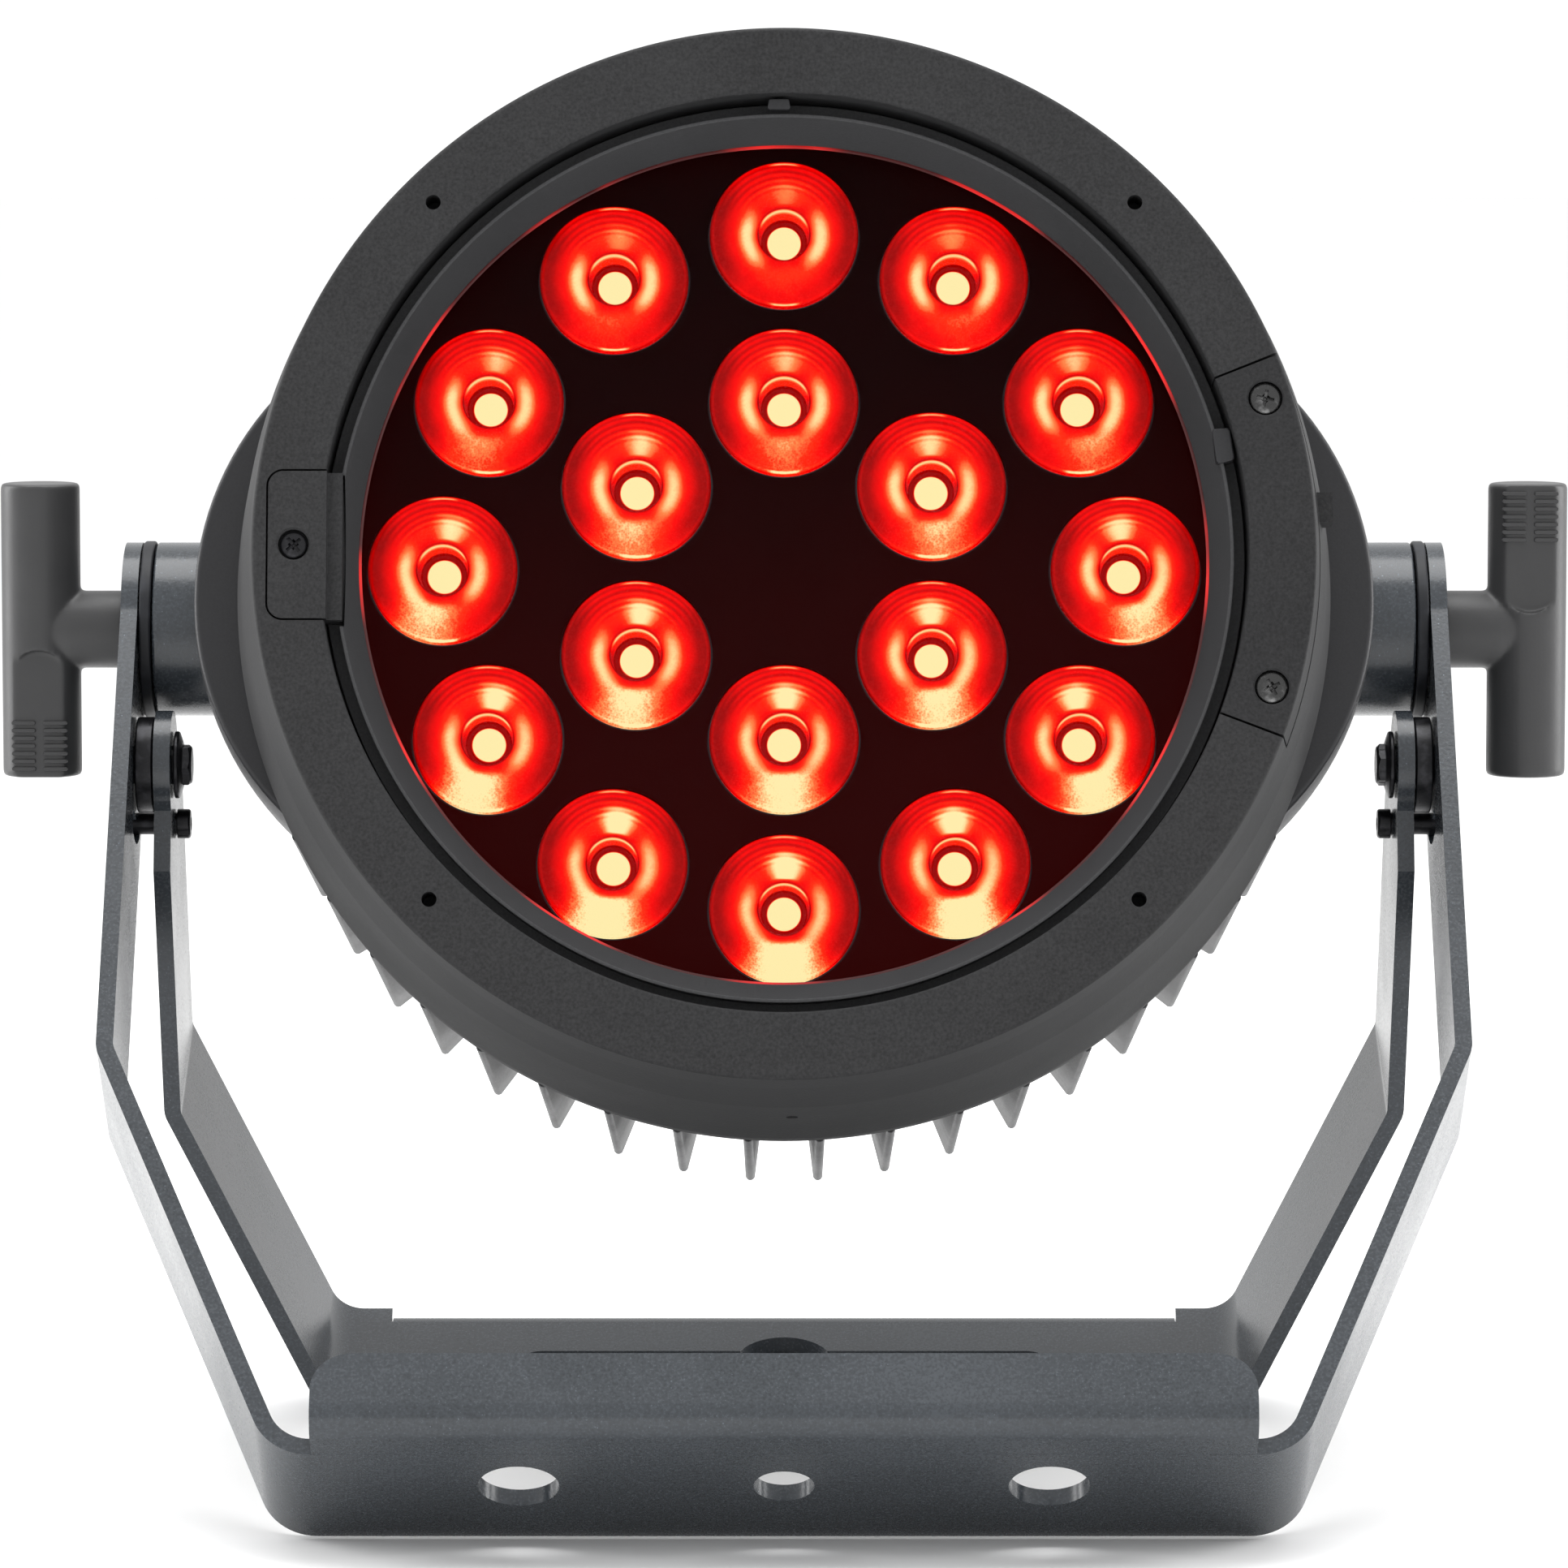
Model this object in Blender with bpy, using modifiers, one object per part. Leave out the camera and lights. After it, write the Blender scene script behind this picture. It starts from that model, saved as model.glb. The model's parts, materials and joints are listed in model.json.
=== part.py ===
"""Outdoor LED par can with a double yoke, as an assembly of separate pieces.

Three empties carry the moving groups: the head turns in the front yoke about the pivot, and the
rear yoke folds on two hinge bolts in the arms of the front yoke.  In every group frame X runs
across the object.  The head frame has Y up and Z along the beam.  A yoke frame has Z up its arms
and -Y forward.  All sizes are in millimetres and become metres when a mesh is made.
"""
import math

import bmesh
import bpy
from mathutils import Matrix, Vector

MM = 0.001
GAP = 0.3                 # air between solids that touch on the real object
FIT = 0.25                # radial clearance of a bolt or stud in its hole

# Sides of the turned shapes
ROUND_LARGE = 56          # bezel, front flange and glass
ROUND_SEAL = 40           # seals, covers, bores and boards
ROUND_MEDIUM = 18         # bosses, sockets and handles
ROUND_LENS = 12
ROUND_SMALL = 12          # bolts, screws and buttons

# Pose at rest
FRONT_SWING = 38.7        # front yoke leans forward from the vertical, degrees
HEAD_TILT = 13.0          # beam points up from the horizontal, degrees

# Sheet metal of both yokes
SHEET = 3.5
BEND_STEPS = 4

# Front yoke
FRONT_WIDTH = 34.0        # strip width of the arms
FRONT_EYE_R = 18.3        # round end of an arm at the pivot
FRONT_ARM_X = 138.5       # outer face of an arm
FRONT_BEND = 113.7        # along the arm, pivot to the upper bend
FRONT_REACH = 206.2       # along the arm, pivot to the plate's outer face
FRONT_CORNER_X = 100.4
FRONT_CORNER_R = 12.0
UPPER_BEND_R = 8.0
FRONT_LIP_OUT = 28.2      # pivot line to the outer face of the lip, forward
FRONT_LIP_HIGH = 16.3
FRONT_LIP_HALF = 92.0
LIP_BEND_R = 5.5
LIP_STEP = 0.05           # each face of a lip lies this far inside the plate's face
LIP_CORNER_R = 8.0
FRONT_LIP_ROOT = 2.0
CLAMP_HOLE_R = 6.0
SIDE_HOLE_R = 8.0
SIDE_HOLE_X = 52.0
HOLE_FORWARD = 4.0

# Rear yoke
HINGE_DROP = 34.3         # pivot to the fold hinge, along the front arm
REAR_WIDTH = 37.5
REAR_ARM_GAP = 4.2        # front arm's inner face to the rear arm's outer face
REAR_BEND = 74.0
NEST_GAP = 19.0           # between the two plates when folded together
REAR_CORNER_X = 99.5
REAR_CORNER_R = 11.0
REAR_EYE_R = 11.3
REAR_NECK_STEP = 0.4      # the arm just below the eye is this much narrower on each edge
REAR_SHOULDER = (5.0, 15.0)
REAR_LIP_HIGH = 12.5
REAR_LIP_HALF = 86.0
REAR_LIP_ROOT = 6.0       # lip's overlap with the plate
SLOT_HALF = 58.0
SLOT_R = 5.4
SLOT_HUB_R = 10.9

# Hinge hardware
HINGE_BOLT_R = 4.0
HINGE_SPACER_R = 10.0
HINGE_NUT_R = 7.0
HINGE_NUT_HIGH = 1.6
HINGE_TIP_R = 4.6
HINGE_TIP_HIGH = 2.4
STOP_RADIUS = 14.0        # fold hinge to the stop bolt
STOP_BOLT_R = 2.3
STOP_HEAD_R = 3.1
STOP_HEAD_HIGH = 2.8

# Trunnion
BOSS_R = 18.3
DISC_R = 18.6
DISC_THICK = 2.4
STUD_R = 4.0
STUD_DEPTH = 20.0         # stud inside the boss
THREAD_SPARE = 2.0        # bore beyond the stud's end
STEM_R = 8.15
BAR_R = 8.3
BAR_HALF = 30.9
STEM_LENGTH = 17.9        # stem's foot to the middle of the bar
PAD_DEPTH = 1.8
PAD_HALF_WIDTH = 6.4
PAD_INNER = 4.0           # bar's middle to the arched end of the thumb pad
BAR_RIM = 0.8

# Head, along the beam from the pivot
FACE_Z = 105.0
PARTING_Z = 60.0
SKIRT_REAR_Z = 42.0       # the skirt laps over the front flange
FIN_FRONT_Z = 52.0
HOUSING_REAR_Z = -56.0
WEB_FRONT_Z = 54.0
WEB_THICK = 8.0
WIRE_HOLE_R = 6.0

# Bezel
FACE_R = 105.25
SKIRT_FLARE = 6.75        # skirt's edge, outward from the face's edge
SKIRT_UPPER = (1.0, 8.0)  # outward from the face's edge, behind the face
SKIRT_MIDDLE = (3.4, 24.0)
SKIRT_EDGE = 6.0          # height of the straight rear edge
BEZEL_WALL = 5.0
FACE_HOLE_R = 91.9
SHELF_STEP = 5.4          # glass seat, inward from the face's hole
SHELF_Z = (77.6, 81.5)
EDGE_CHAMFER = 1.2
ACCESSORY_HOLE_R = 1.5
DRAIN_HOLE_R = 1.2
DRAIN_HOLE_Z = 71.0
DRAIN_HOLE_X = 1.6
ACCESSORY_HOLE_DEPTH = 8.0
LUG_Y = (7.5, 13.5)
LUG_BEHIND_FACE = (20.0, 13.0)
LUG_PROUD = 4.2
SEGMENT_ANGLES = (-21.0, 22.0)
SEGMENT_DEPTH = 11.0
SCREW_RIM = 5.2           # segment screws, inward from the face's edge
SEGMENT_SCREW_ANGLES = (-16.0, 17.6)
SCREW_HEAD_R = 3.1
SCREW_HEAD_HIGH = 2.0
SCREW_SHANK_R = 1.5
SCREW_LENGTH = 14.0
SCREW_SUNK = 0.2          # screw head below the face
CROSS_ARM = 1.9
CROSS_HALF = 0.35
CROSS_DEPTH = 1.1
HATCH_RIM = 3.25          # hatch's outer edge, inward from the face's edge
HATCH_Y = (-13.9, 15.6)
HATCH_THICK = 3.0
HATCH_CORNER_R = 3.0
HATCH_SCREW_Y = 0.9
TONGUE_STEP = 4.5         # tongue's tip, inward from the face's hole
TONGUE_Z = (96.5, 101.0)
HATCH_TRIM_ANGLES = (165.0, 195.0)

# Glass and its retaining ring
APERTURE_STEP = 7.0       # foot of the cone, inward from the face's hole
CONE_EDGE_STEP = 2.5
RETAINER_Z = 101.8
CONE_FOOT = 1.2
GLASS_THICK = 4.0
GASKET_THICK = 1.5

# Optics
LENS_WEB = 5.5            # plate between neighbours on the outer circle
LENS_EDGE_GAP = 2.9       # glass seat to the lenses of the outer circle
LENS_BORE_R = 5.5
LENS_FRONT_Z = 78.5
LENS_BORE_DEPTH = 6.5
LENS_FOOT_R = 5.5
LENS_RIM = 2.2
OUTER_LENSES = 12
INNER_LENSES = 6
LENS_PLATE_GAP = 3.0      # shroud's edge to the inside of the skirt
LENS_PLATE_THICK = 3.4
LENS_PLATE_SKIRT = 3.0
LENS_HOLE_CLEARANCE = 0.5
BOARD_R = 84.0
BOARD_THICK = 2.0
EMITTER_SIDE = 7.0
EMITTER_HIGH = 3.4

# Housing
ROOT_R = 93.0
BORE_R = 88.5
FIN_TIP_R = 112.3
FIN_COUNT = 48
FIN_ROOT_HALF = 2.0
FIN_TIP_HALF = 1.0
FIN_FREE_ANGLE = 22.0     # no fins this close to the trunnions
SKIRT_ROOM = 28.0         # room cleared round the skirt, outward from the face's edge
POD_CENTRE_X = 58.7
POD_CENTRE_Z = 22.0
POD_RADII = (63.5, 63.5, 115.0)

# Rear cover and what it carries
COVER_R = 92.5
COVER_DEPTH = 15.0
COVER_WALL = 3.0
COVER_CHAMFER = 4.0
REAR_GASKET_THICK = 1.4
REAR_GASKET_WIDTH = 6.0
WINDOW_SIZE = (46.0, 24.0)
WINDOW_Y = 40.0
WINDOW_THICK = 2.0
WINDOW_EDGE = 3.0
BUTTON_R = 4.5
BUTTON_Y = 17.0
BUTTON_PITCH = 17.0
BUTTON_PROUD = 2.0
BUTTON_RIM = 0.6
BUTTON_COLLAR = 1.5
BUTTON_STEM = 2.5         # collar and gap behind the panel
SOCKET_FLANGE_R = 15.0
SOCKET_BARREL_R = 12.0
SOCKET_PROUD = 9.0
SOCKET_DEPTH = 9.0
SOCKET_WALL = 2.5
SOCKET_INSIDE = 8.0       # barrel behind the panel
SOCKET_FLANGE_THICK = 2.5
SOCKET_PLACES = {
    "power_inlet": (-52.0, -20.0),
    "data_inlet": (-21.0, -52.0),
    "data_outlet": (21.0, -52.0),
    "power_outlet": (52.0, -20.0),
}
VENT_R = 7.0
VENT_HIGH = 4.0
VENT_Y = -16.0
VENT_STEM_R = 3.0
VENT_STEM_LONG = 3.0
VENT_RIM = 1.0
LOOP_WIRE_R = 2.5
LOOP_HALF = 9.0
LOOP_HIGH = 12.0
LOOP_Y = 73.0
LOOP_LEG = 4.0            # legs behind the panel
SUPPLY_SIZE = (84.0, 60.0, 34.0)
SUPPLY_FRONT_GAP = 6.0
CONTROL_SIZE = (96.0, 70.0, 1.6)
CONTROL_STANDOFF = 22.0

# Colours: base colour, roughness, metallic
CAST_GREY = ((0.055, 0.055, 0.058), 0.62, 0.0)
YOKE_GREY = ((0.16, 0.17, 0.18), 0.50, 0.3)
HANDLE_GREY = ((0.08, 0.08, 0.085), 0.45, 0.0)
BLACK_STEEL = ((0.02, 0.02, 0.022), 0.35, 0.9)
BLACK_RUBBER = ((0.015, 0.015, 0.015), 0.8, 0.0)
MATT_BLACK = ((0.01, 0.008, 0.008), 0.55, 0.0)
LENS_RED = ((0.9, 0.02, 0.0), 0.2, 0.0)
CLEAR_GLASS = ((0.9, 0.95, 0.95), 0.03, 0.0)
BOARD_WHITE = ((0.7, 0.7, 0.66), 0.5, 0.0)
BOARD_GREEN = ((0.02, 0.14, 0.05), 0.5, 0.0)
BRIGHT_METAL = ((0.6, 0.6, 0.6), 0.35, 1.0)
WINDOW_SMOKE = ((0.02, 0.03, 0.05), 0.08, 0.0)

# Places that follow from the sizes above
FRONT_INNER_X = FRONT_ARM_X - SHEET
REAR_ARM_X = FRONT_INNER_X - REAR_ARM_GAP
REAR_INNER_X = REAR_ARM_X - SHEET
REAR_REACH = FRONT_REACH - SHEET - NEST_GAP - HINGE_DROP
PIVOT_HEIGHT = (FRONT_REACH * math.cos(math.radians(FRONT_SWING))
                + FRONT_WIDTH / 2 * math.sin(math.radians(FRONT_SWING)))
HINGE_HEIGHT = PIVOT_HEIGHT - HINGE_DROP * math.cos(math.radians(FRONT_SWING))
DISC_OUTER_X = FRONT_INNER_X - GAP
BOSS_END_X = DISC_OUTER_X - DISC_THICK - GAP
STEM_X = FRONT_ARM_X + GAP
BAR_X = STEM_X + STEM_LENGTH
SKIRT_R = FACE_R + SKIRT_FLARE
FLANGE_R = SKIRT_R - BEZEL_WALL - GAP
SKIRT_ROOM_R = FACE_R + SKIRT_ROOM
SHELF_R = FACE_HOLE_R - SHELF_STEP
APERTURE_R = FACE_HOLE_R - APERTURE_STEP
PITCH_SINE = 2 * math.sin(math.pi / OUTER_LENSES)
LENS_R = ((SHELF_R - LENS_EDGE_GAP) * PITCH_SINE - LENS_WEB) / (2 + PITCH_SINE)
OUTER_LENS_CIRCLE_R = SHELF_R - LENS_EDGE_GAP - LENS_R
INNER_LENS_CIRCLE_R = OUTER_LENS_CIRCLE_R / 2
CONE_EDGE_R = FACE_HOLE_R - CONE_EDGE_STEP
HATCH_X = HATCH_RIM - FACE_R
HATCH_SCREW = ((HATCH_X - FACE_HOLE_R) / 2, HATCH_SCREW_Y)
TONGUE_X = TONGUE_STEP - FACE_HOLE_R
SCREW_CIRCLE_R = FACE_R - SCREW_RIM
ACCESSORY_CIRCLE_R = (FACE_R + FACE_HOLE_R) / 2
GLASS_Z = SHELF_Z[1] + GASKET_THICK + 2 * GAP
GLASS_R = FACE_HOLE_R - GAP
RETAINER_BACK_Z = GLASS_Z + GLASS_THICK + GAP
LENS_PLATE_R = SKIRT_R - BEZEL_WALL - LENS_PLATE_GAP
LENS_PLATE_Z = SHELF_Z[0] - GAP - LENS_PLATE_THICK
BOARD_Z = WEB_FRONT_Z + GAP
EMITTER_TOP_Z = BOARD_Z + BOARD_THICK + EMITTER_HIGH
LENS_BACK_Z = EMITTER_TOP_Z + GAP
COVER_FRONT_Z = HOUSING_REAR_Z - REAR_GASKET_THICK - 2 * GAP
COVER_BACK_Z = COVER_FRONT_Z - COVER_DEPTH
PANEL_INNER_Z = COVER_BACK_Z + COVER_WALL


def clear_scene():
    """Remove whatever objects the file opened with."""
    for item in list(bpy.data.objects):
        bpy.data.objects.remove(item, do_unlink=True)


def new_collection(name):
    """Return a collection of this name linked to the scene."""
    group = bpy.data.collections.new(name)
    bpy.context.scene.collection.children.link(group)
    return group


clear_scene()
PARTS = new_collection("par_can")
CUTTERS = new_collection("cutters")


def rear_swing():
    """Return the lean of the rear yoke in degrees that stands its plate on the same floor."""
    half = REAR_WIDTH / 2
    radius = math.hypot(REAR_REACH, half)
    return math.degrees(math.atan2(half, REAR_REACH) + math.acos(HINGE_HEIGHT / radius))


def empty(name, parent=None, location=(0, 0, 0), tilt=0.0):
    """Add an empty that carries a group; its location is in millimetres in its parent's frame."""
    frame = bpy.data.objects.new(name, None)
    PARTS.objects.link(frame)
    frame.parent = parent
    frame.location = Vector(location) * MM
    frame.rotation_euler.x = math.radians(tilt)
    return frame


def finish(piece, look):
    """Give a piece its own Principled material."""
    colour, roughness, metallic = look
    material = bpy.data.materials.new(piece.name + "_finish")
    material.use_nodes = True
    shader = material.node_tree.nodes["Principled BSDF"]
    shader.inputs["Base Color"].default_value = (*colour, 1.0)
    shader.inputs["Roughness"].default_value = roughness
    shader.inputs["Metallic"].default_value = metallic
    piece.data.materials.append(material)


def add(name, mesh, parent, location=(0, 0, 0), turn=(0, 0, 0), look=None):
    """Place a mesh under its group; with no look it is a cutter and is hidden."""
    piece = bpy.data.objects.new(name, mesh)
    piece.parent = parent
    piece.location = Vector(location) * MM
    piece.rotation_euler = [math.radians(angle) for angle in turn]
    if look is None:
        CUTTERS.objects.link(piece)
        piece.hide_render = True
        piece.display_type = "WIRE"
    else:
        PARTS.objects.link(piece)
        finish(piece, look)
    return piece


def combine(piece, tool, operation):
    """Cut a tool from a piece or join it to the piece."""
    modifier = piece.modifiers.new(tool.name, "BOOLEAN")
    modifier.operation = operation
    modifier.solver = "EXACT"
    modifier.object = tool


def cut(piece, *tools):
    """Cut each tool from the piece."""
    for tool in tools:
        combine(piece, tool, "DIFFERENCE")


def join(piece, *tools):
    """Join each tool to the piece."""
    for tool in tools:
        combine(piece, tool, "UNION")


def mesh_from(bm, name):
    """Turn a bmesh in millimetres into a mesh in metres."""
    bmesh.ops.scale(bm, vec=(MM, MM, MM), verts=bm.verts)
    mesh = bpy.data.meshes.new(name)
    bm.to_mesh(mesh)
    bm.free()
    return mesh


def box(name, low, high):
    """Return the mesh of a box between two corners."""
    bm = bmesh.new()
    size = Vector(high) - Vector(low)
    middle = (Vector(high) + Vector(low)) / 2
    bmesh.ops.create_cube(bm, size=1.0, matrix=Matrix.Translation(middle) @ Matrix.Diagonal((*size, 1.0)))
    return mesh_from(bm, name)


def rod(name, radius, low, high, segments=16):
    """Return the mesh of a cylinder along Z between two heights."""
    bm = bmesh.new()
    bmesh.ops.create_cone(bm, cap_ends=True, segments=segments, radius1=radius,
                          radius2=radius, depth=high - low,
                          matrix=Matrix.Translation((0, 0, (high + low) / 2)))
    mesh = mesh_from(bm, name)
    mesh.shade_smooth()
    mesh.set_sharp_from_angle(angle=math.radians(30))
    return mesh


def ellipsoid(name, centre, radii, segments=28, rings=16):
    """Return the mesh of an ellipsoid with its poles along Z."""
    bm = bmesh.new()
    bmesh.ops.create_uvsphere(bm, u_segments=segments, v_segments=rings, radius=1.0,
                              matrix=Matrix.Translation(centre) @ Matrix.Diagonal((*radii, 1.0)))
    return mesh_from(bm, name)


def turned(name, profile, parent, look, segments, ring=False, location=(0, 0, 0), turn=(0, 0, 0)):
    """Turn a profile of (radius, height) points about Z.

    The profile runs down its outer side.  A ring's profile closes on itself; any other starts and
    ends on the axis.
    """
    mesh = bpy.data.meshes.new(name)
    points = [(radius * MM, 0, height * MM) for radius, height in profile]
    edges = [(i, i + 1) for i in range(len(points) - 1)]
    if ring:
        edges.append((len(points) - 1, 0))
    mesh.from_pydata(points, edges, [])
    piece = add(name, mesh, parent, location, turn, look)
    screw = piece.modifiers.new("turn", "SCREW")
    screw.steps = segments
    screw.render_steps = segments
    screw.use_merge_vertices = True
    screw.merge_threshold = 0.00001
    return piece


def extruded(name, outlines, low, high):
    """Return the mesh of a flat outline with its holes, filled between two heights along Z."""
    curve = bpy.data.curves.new(name, "CURVE")
    curve.dimensions = "2D"
    curve.fill_mode = "BOTH"
    curve.extrude = (high - low) / 2 * MM
    for outline in outlines:
        spline = curve.splines.new("POLY")
        spline.points.add(len(outline) - 1)
        for point, (x, y) in zip(spline.points, outline):
            point.co = (x * MM, y * MM, 0, 1)
        spline.use_cyclic_u = True
    holder = bpy.data.objects.new(name, curve)
    CUTTERS.objects.link(holder)
    evaluated = holder.evaluated_get(bpy.context.evaluated_depsgraph_get())
    mesh = bpy.data.meshes.new_from_object(evaluated)
    bpy.data.objects.remove(holder)
    bm = bmesh.new()
    bm.from_mesh(mesh)
    bmesh.ops.remove_doubles(bm, verts=bm.verts, dist=0.000001)
    bmesh.ops.recalc_face_normals(bm, faces=bm.faces)
    bmesh.ops.translate(bm, vec=(0, 0, (low + high) / 2 * MM), verts=bm.verts)
    bm.to_mesh(mesh)
    bm.free()
    return mesh


def arc(centre, radius, start, end, steps):
    """Return points of an arc, both ends included; angles in degrees."""
    angles = [math.radians(start + (end - start) * i / steps) for i in range(steps + 1)]
    return [(centre[0] + radius * math.cos(a), centre[1] + radius * math.sin(a)) for a in angles]


def rounded(corners, steps=BEND_STEPS):
    """Return an outline from (x, y, radius) corners, each with its own fillet radius."""
    points = []
    for index, (x, y, radius) in enumerate(corners):
        here = Vector((x, y))
        if radius == 0:
            points.append((x, y))
            continue
        back = (Vector(corners[index - 1][:2]) - here).normalized()
        ahead = (Vector(corners[(index + 1) % len(corners)][:2]) - here).normalized()
        half = back.angle(ahead) / 2
        centre = here + (back + ahead).normalized() * radius / math.sin(half)
        first = here + back * radius / math.tan(half) - centre
        sweep = first.angle_signed(here + ahead * radius / math.tan(half) - centre)
        for step in range(steps + 1):
            spoke = first.copy()
            spoke.rotate(Matrix.Rotation(-sweep * step / steps, 2))
            points.append(tuple(centre + spoke))
    return points


def offset_line(corners, distance):
    """Return an open line of (x, y) corners moved sideways by a distance, to the left of its run."""
    moved = []
    for index, corner in enumerate(corners):
        here = Vector(corner)
        normals = []
        if index > 0:
            run = (here - Vector(corners[index - 1])).normalized()
            normals.append(Vector((-run.y, run.x)))
        if index < len(corners) - 1:
            run = (Vector(corners[index + 1]) - here).normalized()
            normals.append(Vector((-run.y, run.x)))
        normal = sum(normals, Vector((0, 0))).normalized()
        moved.append(tuple(here + normal * distance / normal.dot(normals[0])))
    return moved


def bent_strip(name, arm_x, bend, corner_x, reach, corner_radius, top, half_width):
    """Return the mesh of a U bent from wide strip: two arms, two bends in each side and a flat plate."""
    outer = [(arm_x, top), (arm_x, -bend), (corner_x, -reach), (-corner_x, -reach), (-arm_x, -bend),
             (-arm_x, top)]
    inner = offset_line(outer, -SHEET)
    radii = [0, UPPER_BEND_R, corner_radius, corner_radius, UPPER_BEND_R, 0]
    corners = [(x, y, r) for (x, y), r in zip(outer, radii)]
    corners += [(x, y, max(r - SHEET, 0)) for (x, y), r in reversed(list(zip(inner, radii)))]
    mesh = extruded(name, [rounded(corners)], -half_width, half_width)
    mesh.transform(Matrix.Rotation(math.radians(90), 4, "X"))
    return mesh


def arm_silhouette(eye_radius, edge):
    """Return an arm's side view: a round eye and one edge's (half width, height) points, mirrored."""
    lean = math.degrees(math.acos(edge[0][0] / eye_radius))
    outline = arc((0, 0), eye_radius, -lean, 180 + lean, 20)
    outline += [(-width, height) for width, height in edge[1:]]
    return outline + [(width, height) for width, height in reversed(edge[1:])]


def side_section(name, outline, low_x, high_x):
    """Return the mesh of an outline in (forward, up), carried along X between two places."""
    mesh = extruded(name, [outline], -high_x, -low_x)
    mesh.transform(Matrix(((0, 0, -1, 0), (-1, 0, 0, 0), (0, 1, 0, 0), (0, 0, 0, 1))))
    return mesh


def arm_span(side, inner_x, outer_x):
    """Return the low and high X of a cutter that goes right through one arm."""
    return (inner_x - 1, outer_x + 1) if side > 0 else (-outer_x - 1, -inner_x + 1)


def across(side):
    """Return the rotation that lays a part's Z along +X or -X."""
    return (0, 90 * side, 0)


def front_yoke(frame):
    """Front yoke: bent strip, round eyes at the pivot and a stiffening lip along the plate."""
    half = FRONT_WIDTH / 2
    strip = bent_strip("front_yoke", FRONT_ARM_X, FRONT_BEND, FRONT_CORNER_X, FRONT_REACH, FRONT_CORNER_R,
                       FRONT_EYE_R + 1, FRONT_EYE_R + 1)
    yoke = add("front_yoke", strip, frame, look=YOKE_GREY)
    edge = [(half, 0), (half, -FRONT_REACH - 1)]
    silhouette = side_section("front_silhouette", arm_silhouette(FRONT_EYE_R, edge), -FRONT_ARM_X - 1,
                              FRONT_ARM_X + 1)
    combine(yoke, add("front_silhouette", silhouette, frame), "INTERSECT")
    inner_z = -FRONT_REACH + SHEET
    outer_y = FRONT_LIP_OUT
    low_z, root_z = -FRONT_REACH + LIP_STEP, inner_z - LIP_STEP
    section = [(half - FRONT_LIP_ROOT, low_z, 0), (outer_y, low_z, LIP_BEND_R),
               (outer_y, -FRONT_REACH + FRONT_LIP_HIGH, 0), (outer_y - SHEET,
                                                             -FRONT_REACH + FRONT_LIP_HIGH, 0),
               (outer_y - SHEET, root_z, LIP_BEND_R - SHEET), (half - FRONT_LIP_ROOT, root_z, 0)]
    join(yoke, add("front_lip", side_section("front_lip", rounded(section), -FRONT_LIP_HALF,
                                             FRONT_LIP_HALF),
                   frame))
    for side in (-1, 1):
        hole = rod("stud_hole", STUD_R + FIT, FRONT_INNER_X - 1, FRONT_ARM_X + 1)
        cut(yoke, add(f"front_stud_hole_{side}", hole, frame, turn=across(side)))
        bolt_hole = rod("hinge_hole", HINGE_BOLT_R + FIT, FRONT_INNER_X - 1, FRONT_ARM_X + 1)
        cut(yoke, add(f"front_hinge_hole_{side}", bolt_hole, frame, (0, 0, -HINGE_DROP), across(side)))
        cut(yoke, add(f"stop_slot_{side}", stop_slot(side), frame, (0, 0, -HINGE_DROP)))
        corner = lip_corner_cutter(side)
        cut(yoke, add(f"lip_corner_{side}", corner, frame))
    top, bottom = inner_z + 1, -FRONT_REACH - 1
    for name, x, radius in (("clamp_hole", 0, CLAMP_HOLE_R), ("side_hole_left", -SIDE_HOLE_X, SIDE_HOLE_R),
                            ("side_hole_right", SIDE_HOLE_X, SIDE_HOLE_R)):
        cut(yoke, add(name, rod(name, radius, bottom, top, 32), frame, (x, -HOLE_FORWARD, 0)))
    return yoke


def stop_slot(side):
    """Return the cutter of the arc slot in a front arm that the stop bolt runs in."""
    width = STOP_BOLT_R + FIT
    open_angle = FRONT_SWING + rear_swing()
    outer = arc((0, 0), STOP_RADIUS + width, 270 - open_angle, 270, 10)
    inner = arc((0, 0), STOP_RADIUS - width, 270, 270 - open_angle, 10)
    near = (0, -STOP_RADIUS)
    away = math.radians(270 - open_angle)
    far = (STOP_RADIUS * math.cos(away), STOP_RADIUS * math.sin(away))
    outline = outer + arc(near, width, 270, 450, 6)[1:-1] + inner
    outline += arc(far, width, 90 - open_angle, 270 - open_angle, 6)[1:-1]
    return side_section("stop_slot", outline, *arm_span(side, FRONT_INNER_X, FRONT_ARM_X))


def lip_corner_cutter(side):
    """Return the cutter that rounds one top corner of the front lip."""
    radius = LIP_CORNER_R
    top = -FRONT_REACH + FRONT_LIP_HIGH
    end = FRONT_LIP_HALF
    outline = [(end + 1, top + 1), (end - radius, top + 1)]
    outline += arc((end - radius, top - radius), radius, 90, 0, 6)
    outline += [(end + 1, top - radius)]
    mesh = extruded("lip_corner", [[(side * x, y) for x, y in outline]], FRONT_LIP_OUT - SHEET - 1,
                    FRONT_LIP_OUT + 1)
    mesh.transform(Matrix.Rotation(math.radians(90), 4, "X"))
    return mesh


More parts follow.
